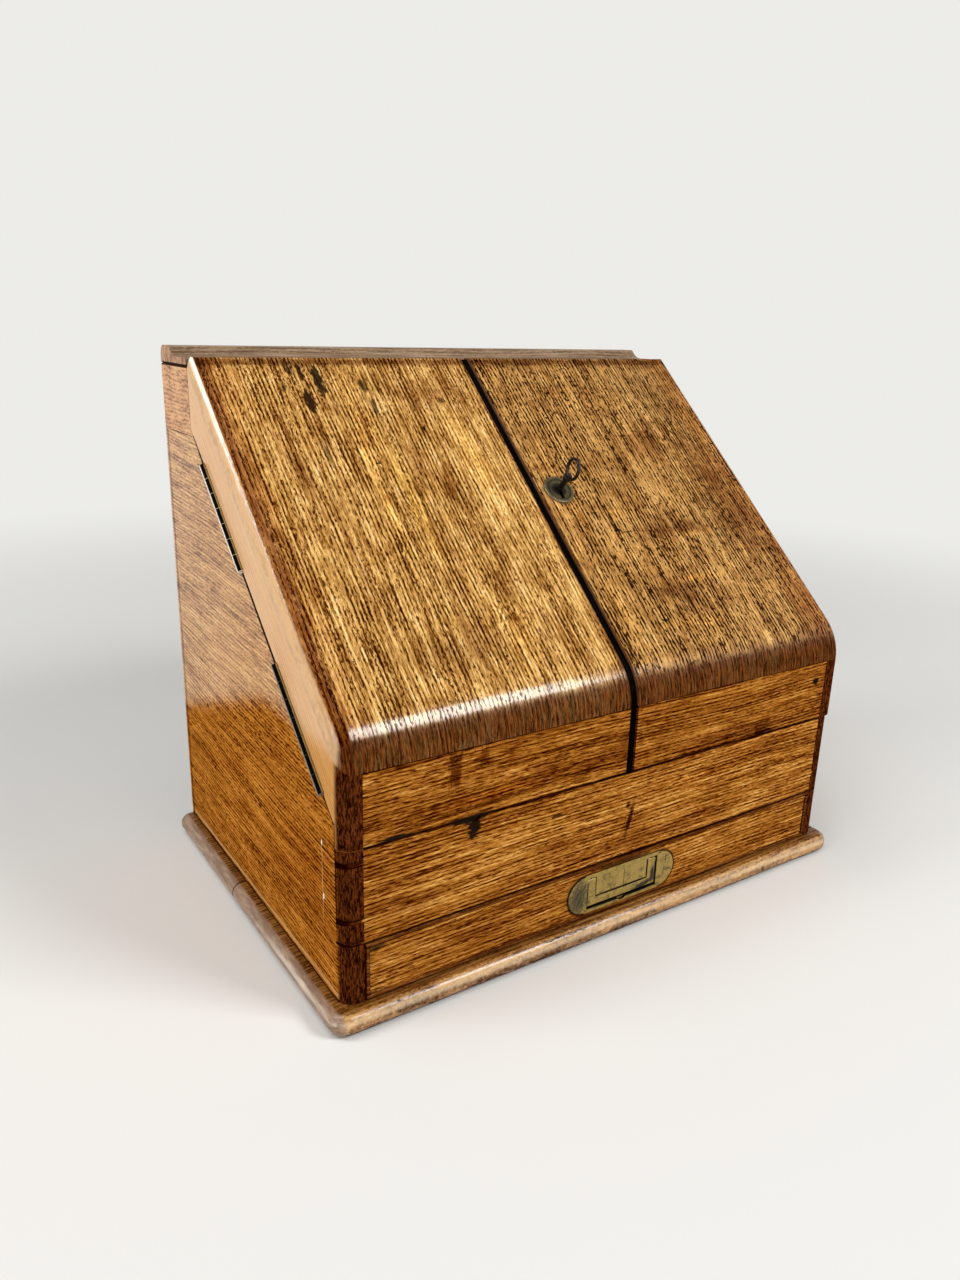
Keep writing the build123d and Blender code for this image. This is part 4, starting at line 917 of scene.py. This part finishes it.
PULL_BRASS = Metal(
    "patinated_brass", (0.4, 0.27, 0.06), (0.21, 0.145, 0.034), (0.012, 0.008, 0.004),
    patina=0.45, gloss=0.45, metallic=0.5, unshaded_face=(0, 1, 0), board=PLATE_GRAIN, stains=(
        paint(-1, -36, (17, 12), (0.06, 0.048, 0.018), 0.7, 0.7, (1.5, 1.5), 0.9),
        *(knot(*spot, 0.8) for spot in (
            (2, -36, 0.6, 5, 55), (-3, -34.5, 0.6, 4, 60), (5, -31.5, 0.6, 3, 60),
            (-6, -33, 0.6, 3, 60), (6, 36, 0.6, 3.5, 90), (-2, 38, 0.6, 2.5, 15))),
        # Black bars round the bail and dark patches at its lower right: painted shade in the pan.
        *(paint(across, along, (high, wide), BLACK, 0.4, 0.15, (2, 2), 0.95, bar=True)
          for across, along, high, wide in (
            (-1, -28, 10, 1), (3.2, -21.1, 7.2, 0.7), (-10.4, 0, 1.2, 28.5),
            (-3.8, 0, 0.7, 21.5), (3.2, 21.1, 7.2, 0.6), (-1, 28, 9.5, 0.6))),
        Stain(1.5, 2, (9.5, 0.35), GRIME_AND_SHADE, 0.4, 0.2, (3, 1)),
        paint(-7.8, 18, (2.8, 15), BLACK, 0.7, 0.4, (2, 3), 0.95, turn=11),
        paint(-2.5, 25.8, (8.5, 2.4), BLACK, 0.7, 0.4, (2, 2), 0.95)))
# The hinges' near-white bright tone is a painted highlight on the knuckles, and their sides
# towards the doors are painted black as shade.
HINGE_BRASS = Metal(
    "hinge_brass", (0.95, 0.88, 0.78), (0.6, 0.5, 0.4), (0.004, 0.003, 0.002), patina=0.35,
    gloss=0.4, metallic=0.1, specular=0, grain=2,
    shaded=(0, -math.sin(HINGE_ANGLE), math.cos(HINGE_ANGLE)))
# A darker copy for the lower hinges, with a dimmer painted highlight.
LOWER_HINGE_BRASS = replace(HINGE_BRASS, name="dirty_hinge_brass", bright=(0.3, 0.26, 0.2),
                      dull=(0.05, 0.045, 0.035))
LOCK_BRASS = Metal("lock_brass", (0.62, 0.46, 0.22), (0.42, 0.3, 0.13), (0.07, 0.05, 0.03))
# Painted rings: a dark outline, a dark ring and a black middle, as the shade of the rim, the
# recess and the keyhole.
ESCUTCHEON_BRASS = Metal(
    "verdigris_brass", (0.26, 0.2, 0.1), (0.15, 0.115, 0.055), (0.015, 0.012, 0.007),
    gloss=0.42, metallic=0.6, grain=2, board=SLOPE_GRAIN, stains=tuple(
        paint(*LOCK, (radius, radius), tint, 0.16, 0.04, (2, 2), 0.85) for radius, tint in (
            (9.4, (0.03, 0.024, 0.012)), (8.3, (0.16, 0.125, 0.06)),
            (5.8, (0.04, 0.032, 0.016)), (4.6, (0.012, 0.009, 0.006)))))
IRON = Metal("dark_iron", (0.035, 0.028, 0.022), (0.015, 0.011, 0.009), (0.02, 0.01, 0.006),
             gloss=0.42, metallic=0.8, grain=2)


@dataclass
class Assembly:
    """One part of the letter box, which gives its CAD nodes their finishes.

    Attributes:
        made: the materials made so far, by name.
    """

    made: dict[str, Material] = field(default_factory=dict)

    def dress(self, finish: Union[Oak, Metal], *nodes: str) -> None:
        """Give nodes a finish.

        Args:
            finish: the finish.
            nodes: names of the CAD nodes.
        """
        if finish.name not in self.made:
            self.made[finish.name] = finish.build()
        for node in nodes:
            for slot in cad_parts[node].material_slots:
                slot.material = self.made[finish.name]
            LOG.info("%s wears %s", node, finish.name)


@dataclass
class Carcase(Assembly):
    """The case, its base and the rack inside.

    Attributes:
        pin_heights: where dirt lies in the dovetails at the ends of the front rail.
        rail_edges: upper and lower edge of the front rail.
        side_rear: how far behind the middle a side's dirty rear edge lies.
    """

    pin_heights: Triple = (52, 64.5, 98)
    rail_edges: Pair = (106.5, 50)
    side_rear: float = 128

    def build(self) -> None:
        """Dress the case."""
        corners = [Stain(z, x * (SIDE_X - 4), (4, 9.5), (0.16, 0.08, 0.05), 0.3, 0.3)
                   for z in self.pin_heights for x in (-1, 1)]
        self.dress(replace(FRONT_OAK, name="oak_rail", middle=0.52, seed=11.3, pitch=2.4,
                           stains=(*map(grime_line, self.rail_edges), *corners, *RAIL)),
                   "front_rail")
        for side in Side:
            self.dress(self.side_oak(side), f"side_panel_{side.word}")
        self.dress(TOP_RAIL_OAK, "top_rail")
        self.dress(CAP_OAK, "top_cap")
        self.dress(BASE_OAK, "base_board_front", "base_board_rear")
        self.dress(BACK_OAK, "back_panel")
        self.dress(INSIDE_OAK, "rack_partition_rear", "rack_partition_middle",
                   "rack_partition_front", "drawer_back", "drawer_stops")
        self.dress(replace(INSIDE_OAK, name="oak_inside_flat", grain=TOP_GRAIN, seed=35),
                   "dust_board", "drawer_bottom")
        self.dress(replace(INSIDE_OAK, name="oak_inside_deep", seed=37,
                           grain=Grain((0, 1, 0), (1, 0, 0))),
                   "tray_divider", "drawer_side_left", "drawer_side_right")

    def side_oak(self, side: Side) -> Oak:
        """The finish of a side, whose left face is the one that was handled and marked.

        Args:
            side: which side it is.

        Returns:
            The finish.
        """
        x, left = side.value, side is Side.LEFT
        rear = Stain(150, self.side_rear * x, (ANYWHERE, 2.2), (0.4, 0.3, 0.24), 0.7, 0.4,
                     (8, 1), bar=True)
        return Oak(
            f"oak_side_{side.word}", Grain((0, -1, -0.05), (x, 0, 0), (x * SIDE_X, 0, 0)),
            RUSSET, 0.5, 14 + x, bands=0.4, fibres=1.3, pore_size=(0.65, 4), pitch=2.4,
            sparse=0.56, pore_tint=(0.2, 0.07, 0.02), polish=0.8, polish_gloss=0.1,
            polish_index=1.6, worn_polish=0, bare_tint=(0.72, 0.53, 0.23),
            end_tones=POST_TONES, end_fade=(0.1, 0.45), plan=side_plan(side),
            stains=SIDE_MARKS if left else (),
            last_stains=(*parting_line(side), rear, *(CORNER_MARKS if left else ())))


@dataclass
class Doors(Assembly):
    """The two sloping doors.

    Attributes:
        strip_foot: lower edge of the upright strip.
        strip_top: its upper edge.
    """

    strip_foot: float = 107
    strip_top: float = 149

    def build(self) -> None:
        """Dress the doors."""
        for side, slope, marks, seed in ((Side.LEFT, LEFT_SLOPE_OAK, LEFT_STRIP, 1),
                                         (Side.RIGHT, RIGHT_SLOPE_OAK, RIGHT_STRIP, 2)):
            x = side.value
            self.dress(slope, f"door_board_{side.word}")
            dirt_and_shade = (grime_line(self.strip_foot), grime_line(self.strip_top, 0.9))
            self.dress(replace(FRONT_OAK, name=f"oak_strip_{side.word}", middle=0.4,
                               seed=seed + 3.4, pitch=2.3, stains=(*dirt_and_shade, *marks)),
                       f"door_front_{side.word}")
            cheek = Grain(DOWN_SLOPE, (x, 0, 0), (x * SIDE_X, *SLOPE_TOP[1:]))
            self.dress(
                Oak(f"oak_cheek_{side.word}", cheek, BISCUIT, 0.62, seed + 6.2, bands=0.3,
                    clouds=0.4, fibres=0.3, pores=0.12, polish=0.7, polish_gloss=0.14,
                    worn_polish=0.05, bare_tint=(0.8, 0.68, 0.42), end_tones=POST_TONES,
                    end_fade=(0.08, 0.34), plan=side_plan(side),
                    last_stains=parting_line(side)),
                f"door_cheek_{side.word}")
        self.dress(EBONY, "meeting_slip")


@dataclass
class Drawer(Assembly):
    """The drawer with its beads and its flush pull."""

    def build(self) -> None:
        """Dress the drawer."""
        self.dress(FRONT_OAK, "drawer_front")
        self.dress(BEAD, *(f"cock_bead_{edge}" for edge in ("top", "bottom", "left", "right")))
        self.dress(PULL_BRASS, "pull_plate", "pull_bail", "pull_pins")


@dataclass
class Fittings(Assembly):
    """Hinges, lock, key and fasteners."""

    def build(self) -> None:
        """Dress the fittings."""
        for place, brass in (("upper", HINGE_BRASS), ("lower", LOWER_HINGE_BRASS)):
            self.dress(brass, *(f"hinge_{kind}_{side.word}_{place}"
                                for kind in ("case_leaf", "door_leaf", "pin") for side in Side))
        self.dress(HINGE_BRASS, "hinge_screws_case", "hinge_screws_left_door",
                   "hinge_screws_right_door")
        self.dress(LOCK_BRASS, "lock_case", "lock_bolt", "strike_plate", "lock_screws")
        self.dress(ESCUTCHEON_BRASS, "escutcheon")
        self.dress(IRON, "key", "back_panel_nails", "base_screws")


@dataclass
class Studio:
    """Floor, light and camera.

    Attributes:
        wall: colour of the pale surroundings.
        melt: from where to where the floor melts into them, in millimetres.
        soft_light: strength of the surroundings as light.
        sky: height of the direction at which they start to dim, and at which they are dim.
        dim: how strong they are there.
        aim: what the lamps are aimed at, in metres.
        film: long side of the camera's frame, in millimetres.
        lens: its focal length.
        stand: where it stands, in metres.
        turn: its heading, pitch and roll, in degrees.
    """

    wall: Triple = (0.84, 0.835, 0.81)
    melt: Pair = (450, 1500)
    soft_light: float = 0.45
    sky: Pair = (0.3, 0.75)
    dim: float = 0.12
    aim: Triple = (0, 0, 0.15)
    film: float = 36
    lens: float = 27.57
    stand: Triple = (-0.3749, -0.5227, 0.3646)
    turn: Triple = (-33.595, -18.024, -1.62)

    def build(self) -> None:
        """Make the whole studio."""
        self.floor()
        self.world()
        self.lamp("front_right_window", (0.97, -1.5, 1.52), (0.8, 0.6), 30)
        self.lamp("ceiling", (-0.7, -0.1, 2.2), (1.8, 1.6), 20)
        self.lamp("left_window", (-2.1, -0.7, 0.9), (1.4, 1), 14)
        self.lamp("left_fanlight", (-1.63, 0.53, 1.54), (0.7, 0.5), 9)
        self.camera()

    def floor(self) -> None:
        """A wide pale floor that melts into the surroundings."""
        graph = Graph("pale_floor")
        away = graph.fade(graph.vector("LENGTH", graph.place), *self.melt)
        matt = graph.add("BsdfDiffuse", {"Color": (*self.wall, 1)})
        glow = graph.add("Emission", {"Color": (*self.wall, 1)})
        blend = {0: away, 1: matt.outputs[0], 2: glow.outputs[0]}
        mesh = bpy.data.meshes.new("floor")
        shape = bmesh.new()
        bmesh.ops.create_grid(shape, x_segments=1, y_segments=1, size=12)
        shape.to_mesh(mesh)
        shape.free()
        mesh.materials.append(graph.close(graph.add("MixShader", blend)))
        floor = bpy.data.objects.new("floor", mesh)
        bpy.context.scene.collection.objects.link(floor)

    def world(self) -> None:
        """Pale surroundings: one tone to look at, a softer one as light."""
        graph = Graph("surroundings", world=True)
        rays = graph.add("LightPath").outputs
        seen = graph.math("MAXIMUM", rays["Is Camera Ray"], rays["Is Transmission Ray"])
        seen = graph.math("MAXIMUM", seen, rays["Is Glossy Ray"])
        light = graph.add("MapRange", {"Value": seen, "To Min": self.soft_light})
        heading = graph.add("TexCoord").outputs["Generated"]
        height = graph.add("SeparateXYZ", {0: heading}).outputs[2]
        dimmed = graph.math("MULTIPLY", light.outputs[0],
                            graph.fade(height, *self.sky, 1, self.dim))
        bpy.context.scene.world = graph.close(graph.add(
            "Background", {"Color": (*self.wall, 1), "Strength": dimmed}))

    def lamp(self, name: str, at: Triple, size: Pair, power: float) -> None:
        """A soft box aimed at the object.

        Args:
            name: its name.
            at: where it stands, in metres.
            size: its width and height, in metres.
            power: its power, in watts.
        """
        data = bpy.data.lights.new(name, "AREA")
        data.shape = "RECTANGLE"
        data.size, data.size_y = size
        data.energy = power
        lamp = bpy.data.objects.new(name, data)
        lamp.location = at
        lamp.rotation_mode = "QUATERNION"
        lamp.rotation_quaternion = (Vector(self.aim) - Vector(at)).to_track_quat("-Z", "Y")
        bpy.context.scene.collection.objects.link(lamp)

    def camera(self) -> None:
        """The camera, level with a person who looks down on the box."""
        data = bpy.data.cameras.new("camera")
        data.lens = self.lens
        data.sensor_width = self.film
        data.clip_start = 0.01
        camera = bpy.data.objects.new("camera", data)
        heading, pitch, roll = (math.radians(angle) for angle in self.turn)
        turn = (Matrix.Rotation(heading, 3, "Z") @ Matrix.Rotation(pitch, 3, "X")
                @ Matrix.Rotation(roll, 3, "Y"))
        right, ahead, up = turn.col
        camera.matrix_world = Matrix.Translation(self.stand) @ Matrix(
            (right, up, -ahead)).transposed().to_4x4()
        bpy.context.scene.collection.objects.link(camera)
        bpy.context.scene.camera = camera


def main() -> None:
    """Dress the letter box and set up the studio."""
    logging.basicConfig(level=logging.INFO, format="%(message)s")
    for piece in (Carcase(), Doors(), Drawer(), Fittings(), Studio()):
        piece.build()
    bpy.context.scene.view_settings.view_transform = "Standard"


if __name__ == "__main__":
    main()
